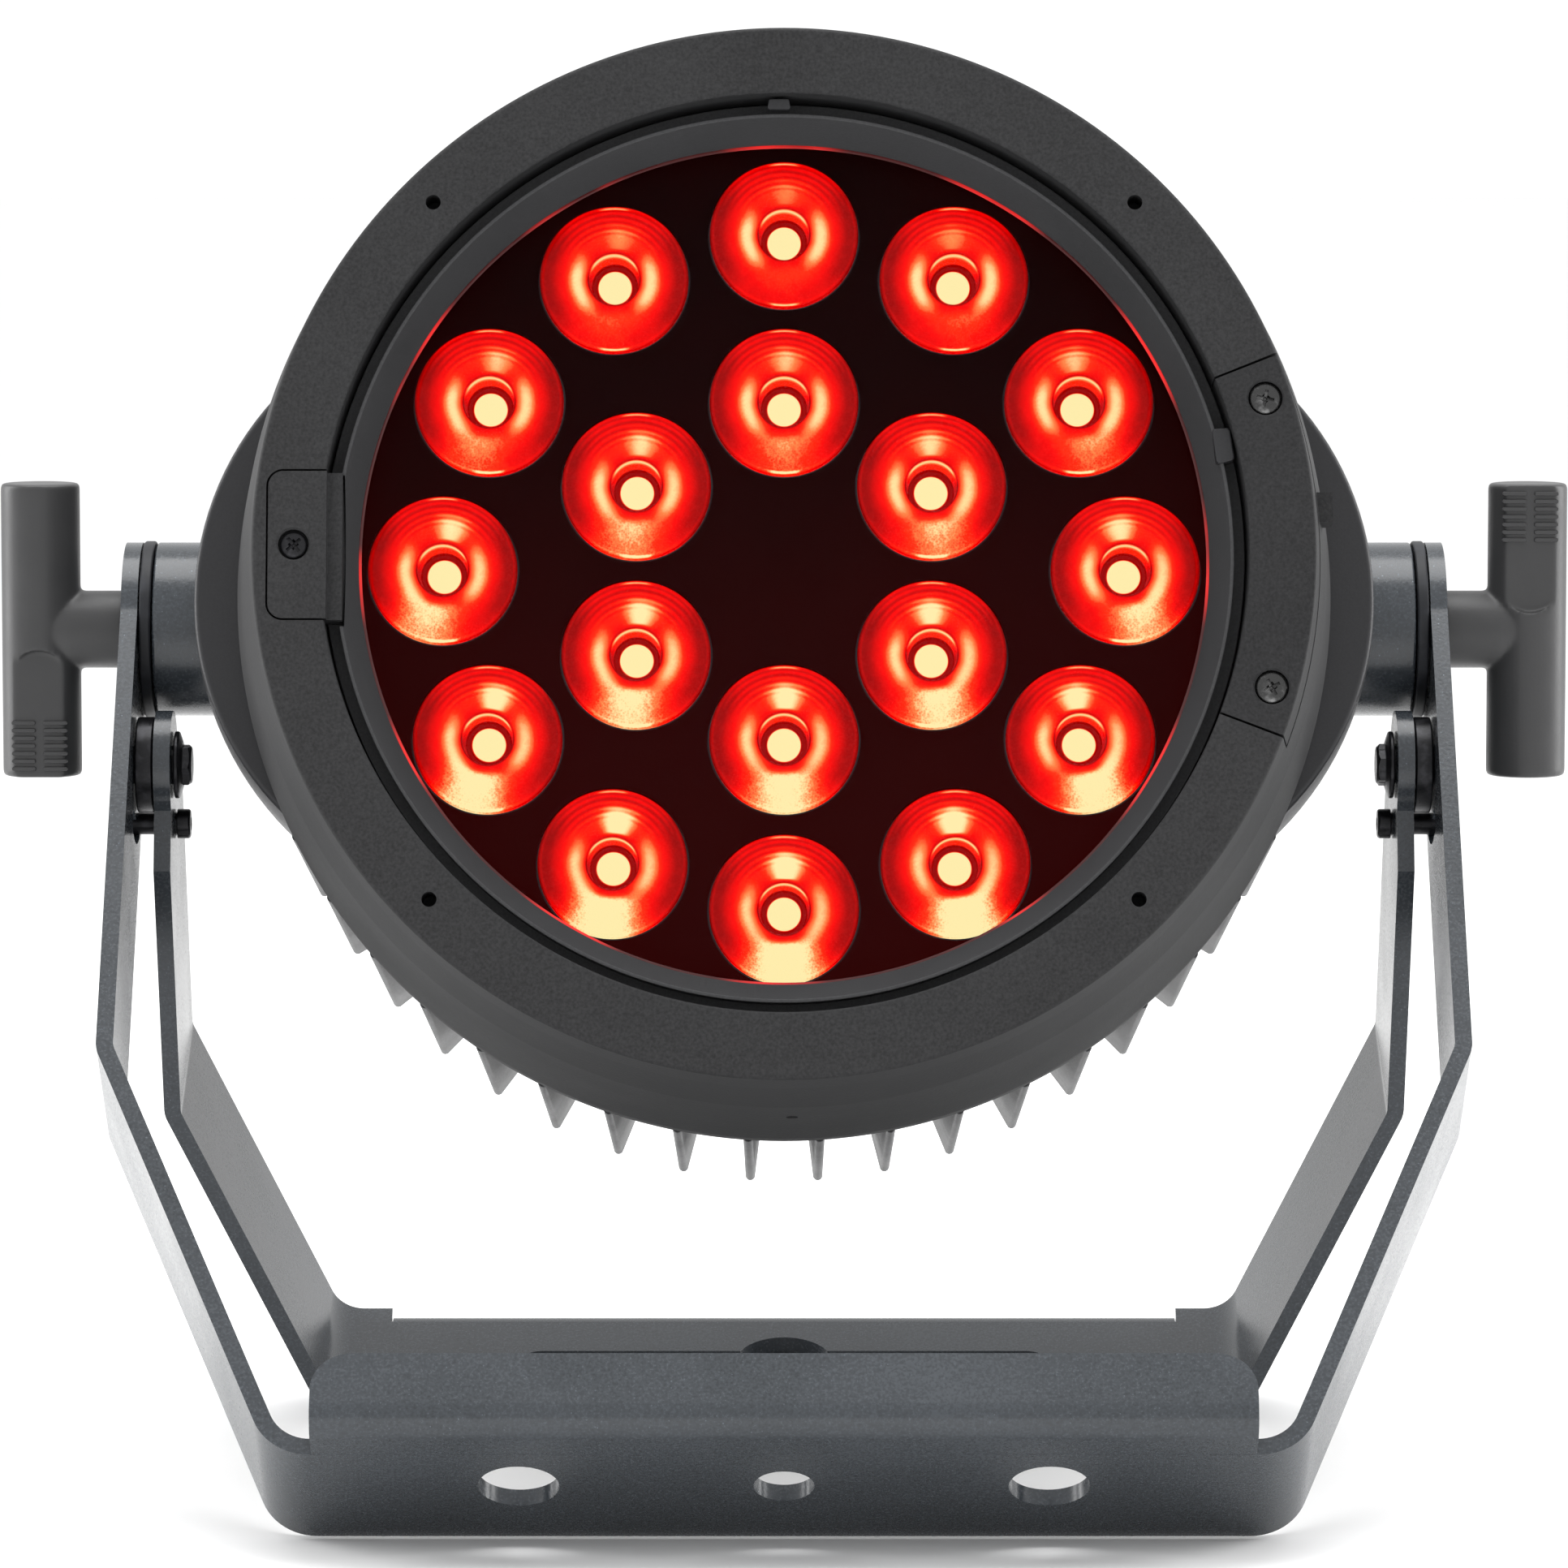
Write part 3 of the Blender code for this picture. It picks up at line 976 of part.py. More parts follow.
def settle(fixture):
    """Move the assembly so that it stands on Z = 0 with its box centred on the origin."""
    bpy.context.view_layer.update()
    depsgraph = bpy.context.evaluated_depsgraph_get()
    low = Vector((math.inf,) * 3)
    high = -low
    for piece in PARTS.objects:
        if piece.type == "EMPTY":
            continue
        evaluated = piece.evaluated_get(depsgraph)
        mesh = evaluated.to_mesh()
        for vertex in mesh.vertices:
            place = evaluated.matrix_world @ vertex.co
            low = Vector(map(min, low, place))
            high = Vector(map(max, high, place))
        evaluated.to_mesh_clear()
    fixture.location -= Vector(((low.x + high.x) / 2, (low.y + high.y) / 2, low.z))
    bpy.context.view_layer.update()


def main():
    """Build every group and stand the object on its two yoke plates."""
    fixture = empty("fixture")
    upright = empty("handle_axis", fixture)
    front = empty("front_yoke_pivot", fixture, tilt=-FRONT_SWING)
    rear = empty("rear_yoke_hinge", front, (0, 0, -HINGE_DROP), FRONT_SWING + rear_swing())
    head = empty("head_pivot", fixture, tilt=90 - HEAD_TILT)
    front_yoke(front)
    rear_yoke(rear)
    hinge_hardware(front, rear)
    main_housing(head)
    front_bezel(head)
    bezel_fittings(head)
    glazing(head)
    optics(head)
    rear_end(head)
    inner_works(head)
    trunnion_hardware(head, upright)
    settle(fixture)
    for name, frame in (("pivot", head), ("fold hinge", rear)):
        place = frame.matrix_world.translation
        print(f"{name} at", " ".join(f"{value:.6f}" for value in place))
    print(f"rear yoke leans {rear_swing():.3f} degrees; it folds {FRONT_SWING + rear_swing():.3f} degrees")


if __name__ == "__main__":
    main()
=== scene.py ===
"""Looks of an outdoor LED par can that stands on its two opened yokes.

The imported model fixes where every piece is.  The classes below rebuild the pieces that show in
finer detail, one class to a sub-assembly, and dress the pieces that are carried over.  Shapes are
made in millimetres in the frame of their group: the head has X across, Y up and Z along the beam;
a yoke has Z up its arms and -Y forward.
"""
from __future__ import annotations

import json
import logging
import math
from dataclasses import dataclass, field, replace
from enum import Enum
from typing import Iterable, Sequence, Union

import bmesh
import bpy
from mathutils import Matrix, Vector


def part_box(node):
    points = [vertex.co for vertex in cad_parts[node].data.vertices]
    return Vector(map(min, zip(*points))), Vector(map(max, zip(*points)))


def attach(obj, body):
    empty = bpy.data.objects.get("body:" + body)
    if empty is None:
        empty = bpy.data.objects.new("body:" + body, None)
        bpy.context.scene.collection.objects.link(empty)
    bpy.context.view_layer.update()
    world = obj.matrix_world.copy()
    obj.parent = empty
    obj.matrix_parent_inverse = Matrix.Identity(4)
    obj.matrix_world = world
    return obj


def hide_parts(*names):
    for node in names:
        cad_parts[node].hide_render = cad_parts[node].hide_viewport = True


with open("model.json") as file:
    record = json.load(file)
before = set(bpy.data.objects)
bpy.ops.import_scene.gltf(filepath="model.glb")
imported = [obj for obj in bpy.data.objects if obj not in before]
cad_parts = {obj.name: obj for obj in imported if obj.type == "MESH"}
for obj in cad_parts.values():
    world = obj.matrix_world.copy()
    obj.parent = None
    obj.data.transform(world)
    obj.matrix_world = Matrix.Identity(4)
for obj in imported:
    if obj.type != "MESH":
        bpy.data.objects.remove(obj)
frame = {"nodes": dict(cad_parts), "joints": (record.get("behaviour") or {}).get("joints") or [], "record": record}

LOG = logging.getLogger("par_can")
MM = 0.001
ON_AXIS = 1e-6

# Sizes in millimetres that several pieces share.
BOLT_HOLE = 4.25
STOP_HOLE = 2.55
SHEET = 3.5
FRONT_ARM_X = 138.5
REAR_ARM_X = 130.8
HINGE_DROP = 34.3
STOP_RADIUS = 14.0

Point = tuple[float, float]
Outline = list[Point]
Mesh = bpy.types.Mesh
Number = Union[float, "Signal"]
Colour = tuple[float, float, float]


class Side(Enum):
    """A side of the object, as seen from the front."""

    LEFT = -1
    RIGHT = 1

    @property
    def word(self) -> str:
        """Return the side's name as it stands in piece names."""
        return self.name.lower()


class Slot(Enum):
    """The record's material slots."""

    CAST = "cast_grey"
    YOKE = "yoke_grey"
    HANDLE = "handle_grey"
    BLACK_STEEL = "black_steel"
    SCREW = "screw_steel"
    RUBBER = "black_rubber"
    PAD = "friction_pad"
    SOCKET = "socket_black"
    SHROUD = "shroud_black"
    LENS = "lens_red"
    GLASS = "front_glass"
    SMOKE = "display_smoke"
    BOARD_WHITE = "board_white"
    BOARD_GREEN = "board_green"
    SUPPLY = "supply_metal"


# ---------------------------------------------------------------------------------------------
# Shader maths
# ---------------------------------------------------------------------------------------------


class Signal:
    """A value in a material; the operators on it add Math nodes."""

    def __init__(self, surface: "Surface", socket: bpy.types.NodeSocket) -> None:
        self.surface = surface
        self.socket = socket

    def _math(self, operation: str, first: Number, second: Number = 0.0) -> "Signal":
        """Add a Math node and return its result."""
        node = self.surface.node("ShaderNodeMath", {"operation": operation}, {0: first, 1: second})
        return Signal(self.surface, node.outputs[0])

    def __add__(self, other: Number) -> "Signal":
        """Return self + other."""
        return self._math("ADD", self, other)

    __radd__ = __add__

    def __sub__(self, other: Number) -> "Signal":
        """Return self - other."""
        return self._math("SUBTRACT", self, other)

    def __rsub__(self, other: Number) -> "Signal":
        """Return other - self."""
        return self._math("SUBTRACT", other, self)

    def __mul__(self, other: Number) -> "Signal":
        """Return self * other."""
        return self._math("MULTIPLY", self, other)

    __rmul__ = __mul__

    def __truediv__(self, other: Number) -> "Signal":
        """Return self / other."""
        return self._math("DIVIDE", self, other)

    def __pow__(self, other: Number) -> "Signal":
        """Return self raised to other."""
        return self._math("POWER", self, other)

    def __abs__(self) -> "Signal":
        """Return the size of self."""
        return self._math("ABSOLUTE", self)

    def sine(self) -> "Signal":
        """Return the sine of self."""
        return self._math("SINE", self)

    def at_least(self, other: Number) -> "Signal":
        """Return the larger of self and other."""
        return self._math("MAXIMUM", self, other)

    def ease(self, low: float, high: float) -> "Signal":
        """Rise smoothly from 0 at low to 1 at high; with low above high it falls.

        Args:
            low: value of self where the result is 0.
            high: value of self where the result is 1.

        Returns:
            The eased value.
        """
        flip = low > high
        settings = {"interpolation_type": "SMOOTHSTEP"}
        node = self.surface.node("ShaderNodeMapRange", settings,
                                 {0: self, 1: min(low, high), 2: max(low, high), 3: 0.0, 4: 1.0})
        eased = Signal(self.surface, node.outputs[0])
        return 1.0 - eased if flip else eased

    def bump_at(self, middle: float, width: float) -> "Signal":
        """Return a smooth hill of height 1 around a middle value.

        Args:
            middle: value of self at the top of the hill.
            width: distance from the top to the foot.

        Returns:
            The hill.
        """
        return abs(self - middle).ease(width, 0.0)


class Surface:
    """A material while it is made."""

    def __init__(self, name: str) -> None:
        self.material = bpy.data.materials.new(name)
        self.material.use_nodes = True
        self.tree = self.material.node_tree
        self.tree.nodes.clear()
        self.output = self.tree.nodes.new("ShaderNodeOutputMaterial")
        self.shader = self.tree.nodes.new("ShaderNodeBsdfPrincipled")
        self.tree.links.new(self.shader.outputs[0], self.output.inputs[0])
        self.place = self.node("ShaderNodeTexCoord", {}, {}).outputs["Object"]

    def node(self, kind: str, settings: dict, inputs: dict) -> bpy.types.Node:
        """Add a node.

        Args:
            kind: the node's type.
            settings: its own options, set first.
            inputs: a value, signal or socket for each input, by index or name.

        Returns:
            The node.
        """
        node = self.tree.nodes.new(kind)
        for key, value in settings.items():
            setattr(node, key, value)
        for key, value in inputs.items():
            self.feed(node.inputs[key], value)
        return node

    def feed(self, socket: bpy.types.NodeSocket, value: object) -> None:
        """Link or set an input.

        Args:
            socket: the input.
            value: a signal, a socket or a constant.
        """
        if isinstance(value, Signal):
            self.tree.links.new(value.socket, socket)
        elif isinstance(value, bpy.types.NodeSocket):
            self.tree.links.new(value, socket)
        else:
            socket.default_value = value

    def axes(self) -> tuple[Signal, Signal, Signal]:
        """Return the piece's own x, y and z in millimetres."""
        parts = self.node("ShaderNodeSeparateXYZ", {}, {0: self.place}).outputs
        return tuple(Signal(self, part) / MM for part in parts)

    def attribute(self, name: str) -> Signal:
        """Return a number that the piece's mesh carries."""
        return Signal(self, self.node("ShaderNodeAttribute", {"attribute_name": name}, {}).outputs["Fac"])

    def noise(self, size_mm: float, detail: float = 2.0) -> Signal:
        """Return noise over the piece, about 0.5 on average.

        Args:
            size_mm: size of a feature in millimetres.
            detail: how many finer octaves are added.

        Returns:
            The noise.
        """
        inputs = {"Vector": self.place, "Scale": 1.0 / MM / size_mm, "Detail": detail}
        return Signal(self, self.node("ShaderNodeTexNoise", {}, inputs).outputs[0])

    def cells(self, size_mm: float) -> tuple[Signal, Signal]:
        """Return a pattern of cells.

        Args:
            size_mm: size of a cell in millimetres.

        Returns:
            The distance from a cell's centre, and the cell's own random number.
        """
        inputs = {"Vector": self.place, "Scale": 1.0 / MM / size_mm}
        node = self.node("ShaderNodeTexVoronoi", {}, inputs)
        pick = self.node("ShaderNodeSeparateColor", {}, {0: node.outputs["Color"]})
        return Signal(self, node.outputs["Distance"]), Signal(self, pick.outputs[0])

    def mix(self, share: Number, first: object, second: object) -> bpy.types.NodeSocket:
        """Return a colour between two colours.

        Args:
            share: 0 for the first, 1 for the second.
            first: colour or colour socket.
            second: colour or colour socket.

        Returns:
            The mixed colour.
        """
        node = self.node("ShaderNodeMix", {"data_type": "RGBA"}, {0: share, 6: first, 7: second})
        return node.outputs[2]

    def ramp(self, value: Signal, stops: Sequence[tuple[float, tuple]]) -> bpy.types.NodeSocket:
        """Return a colour from a ramp.

        Args:
            value: place on the ramp.
            stops: places and colours, in order.

        Returns:
            The colour.
        """
        node = self.node("ShaderNodeValToRGB", {}, {0: value})
        elements = node.color_ramp.elements
        for index, (place, colour) in enumerate(stops):
            element = elements[index] if index < 2 else elements.new(place)
            element.position = place
            element.color = (*colour, 1.0)
        return node.outputs[0]

    def bump(self, height: Signal, depth_mm: float, strength: float = 1.0) -> None:
        """Raise the surface by a height.

        Args:
            height: height from 0 to 1.
            depth_mm: what a height of 1 stands for.
            strength: share of the effect.
        """
        node = self.node("ShaderNodeBump", {}, {"Height": height, "Distance": depth_mm * MM,
                                                "Strength": strength})
        self.feed(self.shader.inputs["Normal"], node.outputs[0])

    def dress(self, **inputs: object) -> bpy.types.Material:
        """Set the shader's inputs and return the material.

        Args:
            inputs: values by input name, with _ for a space.

        Returns:
            The material.
        """
        for key, value in inputs.items():
            self.feed(self.shader.inputs[key.replace("_", " ")], value)
        return self.material


def shade(colour: Colour, factor: float = 1.0) -> tuple[float, ...]:
    """Return a colour times a factor, with full alpha."""
    return (*(min(part * factor, 1.0) for part in colour), 1.0)


# ---------------------------------------------------------------------------------------------
# Finishes
# ---------------------------------------------------------------------------------------------


@dataclass(frozen=True)
class TexturedPaint:
    """Fine textured paint: a pebbled coat with slow changes of tone and, on some, flecks."""

    name: str
    colour: Colour
    roughness: float = 0.5
    grain_mm: float = 0.45
    depth_mm: float = 0.03
    mottle: float = 0.18
    fleck: float = 0.0
    fleck_mm: float = 0.42
    fleck_colour: Colour = (0.11, 0.125, 0.14)
    specular: float = 0.3
    cloud_mm: float = 22.0

    def make(self) -> bpy.types.Material:
        """Return the material."""
        surface = Surface(self.name)
        grain = surface.noise(self.grain_mm, 3.0)
        cloud = surface.noise(self.cloud_mm, 3.0)
        tone = (grain - 0.5) * 1.6 + (cloud - 0.5) * 0.5
        low, high = shade(self.colour, 1.0 - self.mottle), shade(self.colour, 1.0 + self.mottle)
        base = surface.mix(tone + 0.5, low, high)
        rough = (cloud - 0.5) * 0.16 + (grain - 0.5) * 0.25 + self.roughness
        metallic: Number = 0.0
        if self.fleck:
            distance, number = surface.cells(self.fleck_mm)
            fleck = number.ease(1.0 - self.fleck, 1.0) * distance.ease(0.5, 0.2)
            base = surface.mix(fleck, base, shade(self.fleck_colour))
            metallic = fleck * 0.8
        surface.bump(grain, self.depth_mm)
        return surface.dress(Base_Color=base, Roughness=rough, Metallic=metallic,
                             Specular_IOR_Level=self.specular)


@dataclass(frozen=True)
class MouldedPlastic:
    """Satin glass-filled plastic with a faint flow pattern."""

    name: str
    colour: Colour
    roughness: float = 0.42
    depth_mm: float = 0.02
    specular: float = 0.35

    def make(self) -> bpy.types.Material:
        """Return the material."""
        surface = Surface(self.name)
        fine = surface.noise(0.7, 4.0)
        flow = surface.noise(9.0, 2.0)
        base = surface.mix(flow * 0.7 + fine * 0.3, shade(self.colour, 0.85), shade(self.colour, 1.2))
        rough = (flow - 0.5) * 0.18 + (fine - 0.5) * 0.12 + self.roughness
        surface.bump(fine, self.depth_mm)
        return surface.dress(Base_Color=base, Roughness=rough, Specular_IOR_Level=self.specular)


@dataclass(frozen=True)
class Steel:
    """Plated or blackened steel with fine turning marks and handling wear."""

    name: str
    colour: Colour
    worn: Colour
    metallic: float = 0.9
    roughness: float = 0.36

    def make(self) -> bpy.types.Material:
        """Return the material."""
        surface = Surface(self.name)
        fine = surface.noise(0.25, 2.0)
        patch = surface.noise(2.4, 3.0)
        base = surface.mix(patch.ease(0.48, 0.72), shade(self.colour), shade(self.worn))
        rough = (fine - 0.5) * 0.3 + (patch - 0.5) * 0.2 + self.roughness
        surface.bump(fine, 0.012)
        return surface.dress(Base_Color=base, Roughness=rough, Metallic=self.metallic)


@dataclass(frozen=True)
class Rubber:
    """Matt rubber with a dusty bloom."""

    name: str
    colour: Colour = (0.010, 0.010, 0.011)
    roughness: float = 0.62

    def make(self) -> bpy.types.Material:
        """Return the material."""
        surface = Surface(self.name)
        fine = surface.noise(0.35, 3.0)
        bloom = surface.noise(5.0, 2.0)
        base = surface.mix(bloom.ease(0.4, 0.75), shade(self.colour), shade(self.colour, 2.2))
        surface.bump(fine, 0.02)
        return surface.dress(Base_Color=base, Roughness=(bloom - 0.5) * 0.2 + self.roughness,
                             Specular_IOR_Level=0.25)


@dataclass(frozen=True)
class SolderMask:
    """A circuit board's mask with faint tracks."""

    name: str
    colour: Colour
    track: Colour

    def make(self) -> bpy.types.Material:
        """Return the material."""
        surface = Surface(self.name)
        x, y, _ = surface.axes()
        lines = (x * 1.9).sine().ease(0.86, 0.98).at_least((y * 1.3).sine().ease(0.9, 0.99))
        gate = surface.noise(12.0, 1.0).ease(0.5, 0.6)
        base = surface.mix(lines * gate, shade(self.colour), shade(self.track))
        surface.bump(lines * gate, 0.03)
        return surface.dress(Base_Color=base, Roughness=surface.noise(3.0) * 0.2 + 0.3)


@dataclass(frozen=True)
class LitLens:
    """A collimating optic lit red from behind, with its bore, streaks and fine facets, painted shade toward the
    sides of its rim and painted glints at the rim's top and bottom.
    """

    name: str
    strength: float = 1.0
    bore_radius: float = 5.3
    spot_radius: float = 3.35
    facet_mm: float = 0.42
    blur: float = 0.12

    def make(self) -> bpy.types.Material:
        """Return the material."""
        surface = Surface(self.name)
        x, y, z = surface.axes()
        rho = (x * x + y * y) ** 0.5
        low, lean = surface.attribute("low"), surface.attribute("lean")
        across, up = x / rho.at_least(0.1), y / rho.at_least(0.1)
        facets, number = surface.cells(self.facet_mm)
        sparkle = (facets - 0.4) * 0.3 + (number - 0.5) * 0.12
        cloud = surface.noise(3.2, 2.0) - 0.5

        south = up.ease(-0.05, -0.9) * (across - lean).bump_at(0.0, 0.95)
        south = south * rho.ease(5.8, 8.4) * (low * 0.64 + 0.06)
        north = up.ease(0.35, 0.95) * (across + lean * 0.6).bump_at(0.04, 0.6)
        north = north * rho.ease(5.6, 6.6) * rho.ease(13.2, 9.2) * (low * 0.44 + 0.18)
        rings = (rho * 5.2).sine() * 0.07 * rho.ease(8.5, 10.0) * up.ease(0.3, 0.9)
        sides = (abs(across) - up * 0.16).ease(0.52, 1.02) * rho.bump_at(7.4, 3.0)
        sides = sides * (0.37 - low * 0.06)
        halo = rho.bump_at(8.2, 5.2) * 0.12
        # Painted shade: darker toward the outer rim at the sides and just past the rim, with a thin lighter line
        # on the rim itself; painted highlight: bright glints at the rim's top and bottom.
        painted_side_shade = abs(across).ease(0.55, 0.95) * rho.ease(10.0, 13.4) * -0.16
        rim = rho.bump_at(14.35, 0.35) * 0.05 + rho.ease(14.5, 15.0) * -0.10
        glint = rho.bump_at(14.5, 0.45) * abs(up).ease(0.965, 0.995) * 0.36
        face = south + north + rings + sides + halo + painted_side_shade + rim + glint + cloud * 0.10
        face = face + sparkle * (south * 1.2 + 0.10) * rho.ease(6.0, 8.0) + 0.47

        wall = up.ease(-0.1, 0.7) * (0.24 + z.ease(-4.4, -0.6) * 0.34) + 0.38
        spot = rho.ease(self.spot_radius + 0.25, self.spot_radius - 0.1)
        inside = wall * z.ease(-8.6, -7.6) + 0.30 * z.ease(-7.6, -8.6)
        inside = inside * (1.0 - spot) + spot
        edge = rho.bump_at(self.bore_radius, 0.45) * z.ease(-1.6, -0.2) * -0.16
        in_bore = rho.ease(self.bore_radius + self.blur, self.bore_radius - self.blur)
        level = face * (1.0 - in_bore) + inside * in_bore + edge
        glow = surface.ramp(level, [(0.0, (0.02, 0.0, 0.0)), (1.0, (1.0, 0.86, 0.42)),
                                    (0.30, (0.30, 0.0, 0.0)), (0.44, (0.72, 0.0, 0.0)),
                                    (0.55, (1.0, 0.0, 0.0)), (0.67, (1.0, 0.03, 0.004)),
                                    (0.80, (1.0, 0.25, 0.07)), (0.92, (1.0, 0.72, 0.32))])
        surface.bump(facets, 0.05, 0.6)
        return surface.dress(Base_Color=(0.02, 0.0, 0.0, 1.0), Roughness=facets * 0.2 + 0.16,
                             Specular_IOR_Level=0.06, Emission_Color=glow,
                             Emission_Strength=self.strength)


@dataclass(frozen=True)
class Shroud:
    """The black plate between the lenses, with the red light that strays over it."""

    name: str

    def make(self) -> bpy.types.Material:
        """Return the material."""
        surface = Surface(self.name)
        _, y, _ = surface.axes()
        fine = surface.noise(0.5, 3.0)
        cloud = surface.noise(30.0, 2.0)
        stray = y.ease(70.0, -70.0) * 0.75 + cloud * 0.25
        glow = surface.mix(stray, (0.0008, 0.0, 0.0, 1.0), (0.026, 0.0, 0.0, 1.0))
        base = surface.mix(fine, (0.0006, 0.0003, 0.0003, 1.0), (0.0016, 0.0006, 0.0006, 1.0))
        surface.bump(fine, 0.02)
        return surface.dress(Base_Color=base, Roughness=fine * 0.1 + 0.55, Emission_Color=glow,
                             Emission_Strength=1.0, Specular_IOR_Level=0.015)


@dataclass(frozen=True)
class RimGlow:
    """The thin inner edge of the retaining ring where the lenses' light catches."""

    name: str
    count: int = 12

    def make(self) -> bpy.types.Material:
        """Return the material."""
        surface = Surface(self.name)
        x, y, _ = surface.axes()
        angle = Signal(surface, surface.node("ShaderNodeMath", {"operation": "ARCTAN2"},
                                             {0: x, 1: y}).outputs[0])
        beat = (angle * float(self.count) + math.pi / 2).sine().ease(-0.4, 1.0)
        uneven = surface.noise(22.0, 2.0).ease(0.30, 0.55)
        glow = surface.mix(beat * uneven, (0.05, 0.0, 0.0, 1.0), (0.95, 0.01, 0.008, 1.0))
        return surface.dress(Base_Color=(0.01, 0.004, 0.004, 1.0), Roughness=uneven * 0.1 + 0.2,
                             Emission_Color=glow, Emission_Strength=1.0)


@dataclass(frozen=True)
class Glazing:
    """Toughened front glass, clear enough to pass unnoticed but for its sheen."""

    name: str
    alpha: float = 0.012

    def make(self) -> bpy.types.Material:
        """Return the material."""
        surface = Surface(self.name)
        smear = surface.noise(40.0, 2.0)
        material = surface.dress(Base_Color=(0.02, 0.02, 0.022, 1.0), Roughness=smear * 0.05 + 0.03,
                                 Alpha=self.alpha, Specular_IOR_Level=0.5)
        material.surface_render_method = "BLENDED"
        return material


@dataclass(frozen=True)
class SmokedWindow:
    """A smoked display window with a faint smear in its dark tone and gloss."""

    name: str

    def make(self) -> bpy.types.Material:
        """Return the material."""
        surface = Surface(self.name)
        smear = surface.noise(6.0, 2.0)
        base = surface.mix(smear, (0.004, 0.006, 0.010, 1.0), (0.010, 0.014, 0.022, 1.0))
        return surface.dress(Base_Color=base, Roughness=smear * 0.06 + 0.06, Coat_Weight=smear * 0.3 + 0.6)


class Finishes:
    """Every finish of the object, made once."""

    def __init__(self) -> None:
        """Make the materials."""
        cast = TexturedPaint("cast_paint", (0.029, 0.029, 0.030), 0.62, 0.62, 0.05, 0.42, specular=0.14)
        recipes = {
            Slot.CAST: cast,
            Slot.YOKE: TexturedPaint("yoke_powder_coat", (0.034, 0.040, 0.047), 0.25, 0.6, 0.02, 0.45,
                                     fleck=0.09, specular=0.5),
            Slot.HANDLE: MouldedPlastic("handle_plastic", (0.041, 0.041, 0.042)),
            Slot.BLACK_STEEL: Steel("black_steel", (0.010, 0.010, 0.012), (0.035, 0.035, 0.040), 0.55,
                                    0.34),
            Slot.SCREW: Steel("screw_steel", (0.055, 0.055, 0.055), (0.20, 0.20, 0.20), 0.9, 0.3),
            Slot.RUBBER: Rubber("seal_rubber"),
            Slot.PAD: Rubber("friction_pad", (0.014, 0.015, 0.018), 0.5),
            Slot.SOCKET: MouldedPlastic("socket_plastic", (0.012, 0.012, 0.013), 0.38),
            Slot.SHROUD: Shroud("shroud_black"),
            Slot.LENS: LitLens("lit_lens"),
            Slot.GLASS: Glazing("front_glass_clear"),
            Slot.SMOKE: SmokedWindow("display_window_smoke"),
            Slot.BOARD_WHITE: SolderMask("board_white", (0.65, 0.65, 0.62), (0.5, 0.5, 0.48)),
            Slot.BOARD_GREEN: SolderMask("board_green", (0.015, 0.11, 0.04), (0.03, 0.19, 0.07)),
            Slot.SUPPLY: Steel("supply_can", (0.45, 0.46, 0.47), (0.6, 0.6, 0.6), 1.0, 0.38),
        }
        self.made = {slot: recipe.make() for slot, recipe in recipes.items()}
        self.rim_glow = RimGlow("aperture_edge_glow").make()
        self.segment = replace(cast, name="segment_paint", colour=(0.025, 0.025, 0.026), mottle=0.4).make()
        self.smooth_cast = TexturedPaint("smooth_cast_paint", (0.022, 0.022, 0.024), 0.46, 0.5, 0.02, 0.2,
                                         specular=0.32).make()
        self.ring = TexturedPaint("ring_paint", (0.050, 0.050, 0.052), 0.6, 0.5, 0.03, 0.25,
                                  specular=0.2).make()

    def __getitem__(self, slot: Slot) -> bpy.types.Material:
        """Return the material of a slot."""
        return self.made[slot]


# ---------------------------------------------------------------------------------------------
# Mesh making
# ---------------------------------------------------------------------------------------------


def arc(centre: Point, radius: float, start: float, end: float, steps: int) -> Outline:
    """Return points of an arc with both ends; angles in degrees."""
    angles = [math.radians(start + (end - start) * i / steps) for i in range(steps + 1)]
    return [(centre[0] + radius * math.cos(a), centre[1] + radius * math.sin(a)) for a in angles]


def polar(radius: float, angle: float) -> Point:
    """Return the point on a circle at an angle in degrees."""
    return (radius * math.cos(math.radians(angle)), radius * math.sin(math.radians(angle)))


def fillet(corners: Sequence[tuple[float, float, float]], steps: int = 6) -> Outline:
    """Round the corners of an outline.

    Args:
        corners: x, y and fillet radius of each corner; a radius of 0 keeps the corner.
        steps: facets of each fillet.

    Returns:
        The outline's points.
    """
    points: Outline = []
    for index, (x, y, radius) in enumerate(corners):
        if radius == 0:
            points.append((x, y))
            continue
        here = Vector((x, y))
        back = (Vector(corners[index - 1][:2]) - here).normalized()
        ahead = (Vector(corners[(index + 1) % len(corners)][:2]) - here).normalized()
        half = back.angle(ahead) / 2
        centre = here + (back + ahead).normalized() * radius / math.sin(half)
        first = here + back * radius / math.tan(half) - centre
        sweep = first.angle_signed(here + ahead * radius / math.tan(half) - centre)
        for step in range(steps + 1):
            spoke = first.copy()
            spoke.rotate(Matrix.Rotation(-sweep * step / steps, 2))
            points.append(tuple(centre + spoke))
    return points


def offset_line(corners: Outline, distance: float) -> Outline:
    """Return an open line moved sideways by a distance, to the left of its run."""
    moved_points: Outline = []
    for index, corner in enumerate(corners):
        here = Vector(corner)
        normals = []
        if index > 0:
            run = (here - Vector(corners[index - 1])).normalized()
            normals.append(Vector((-run.y, run.x)))
        if index < len(corners) - 1:
            run = (Vector(corners[index + 1]) - here).normalized()
            normals.append(Vector((-run.y, run.x)))
        normal = sum(normals, Vector((0, 0))).normalized()
        moved_points.append(tuple(here + normal * distance / normal.dot(normals[0])))
    return moved_points


def to_mesh(bm: bmesh.types.BMesh, name: str) -> Mesh:
    """Turn a bmesh into a smooth-shaded mesh with its normals outward."""
    bmesh.ops.recalc_face_normals(bm, faces=bm.faces)
    mesh = bpy.data.meshes.new(name)
    bm.to_mesh(mesh)
    bm.free()
    mesh.shade_smooth()
    return mesh


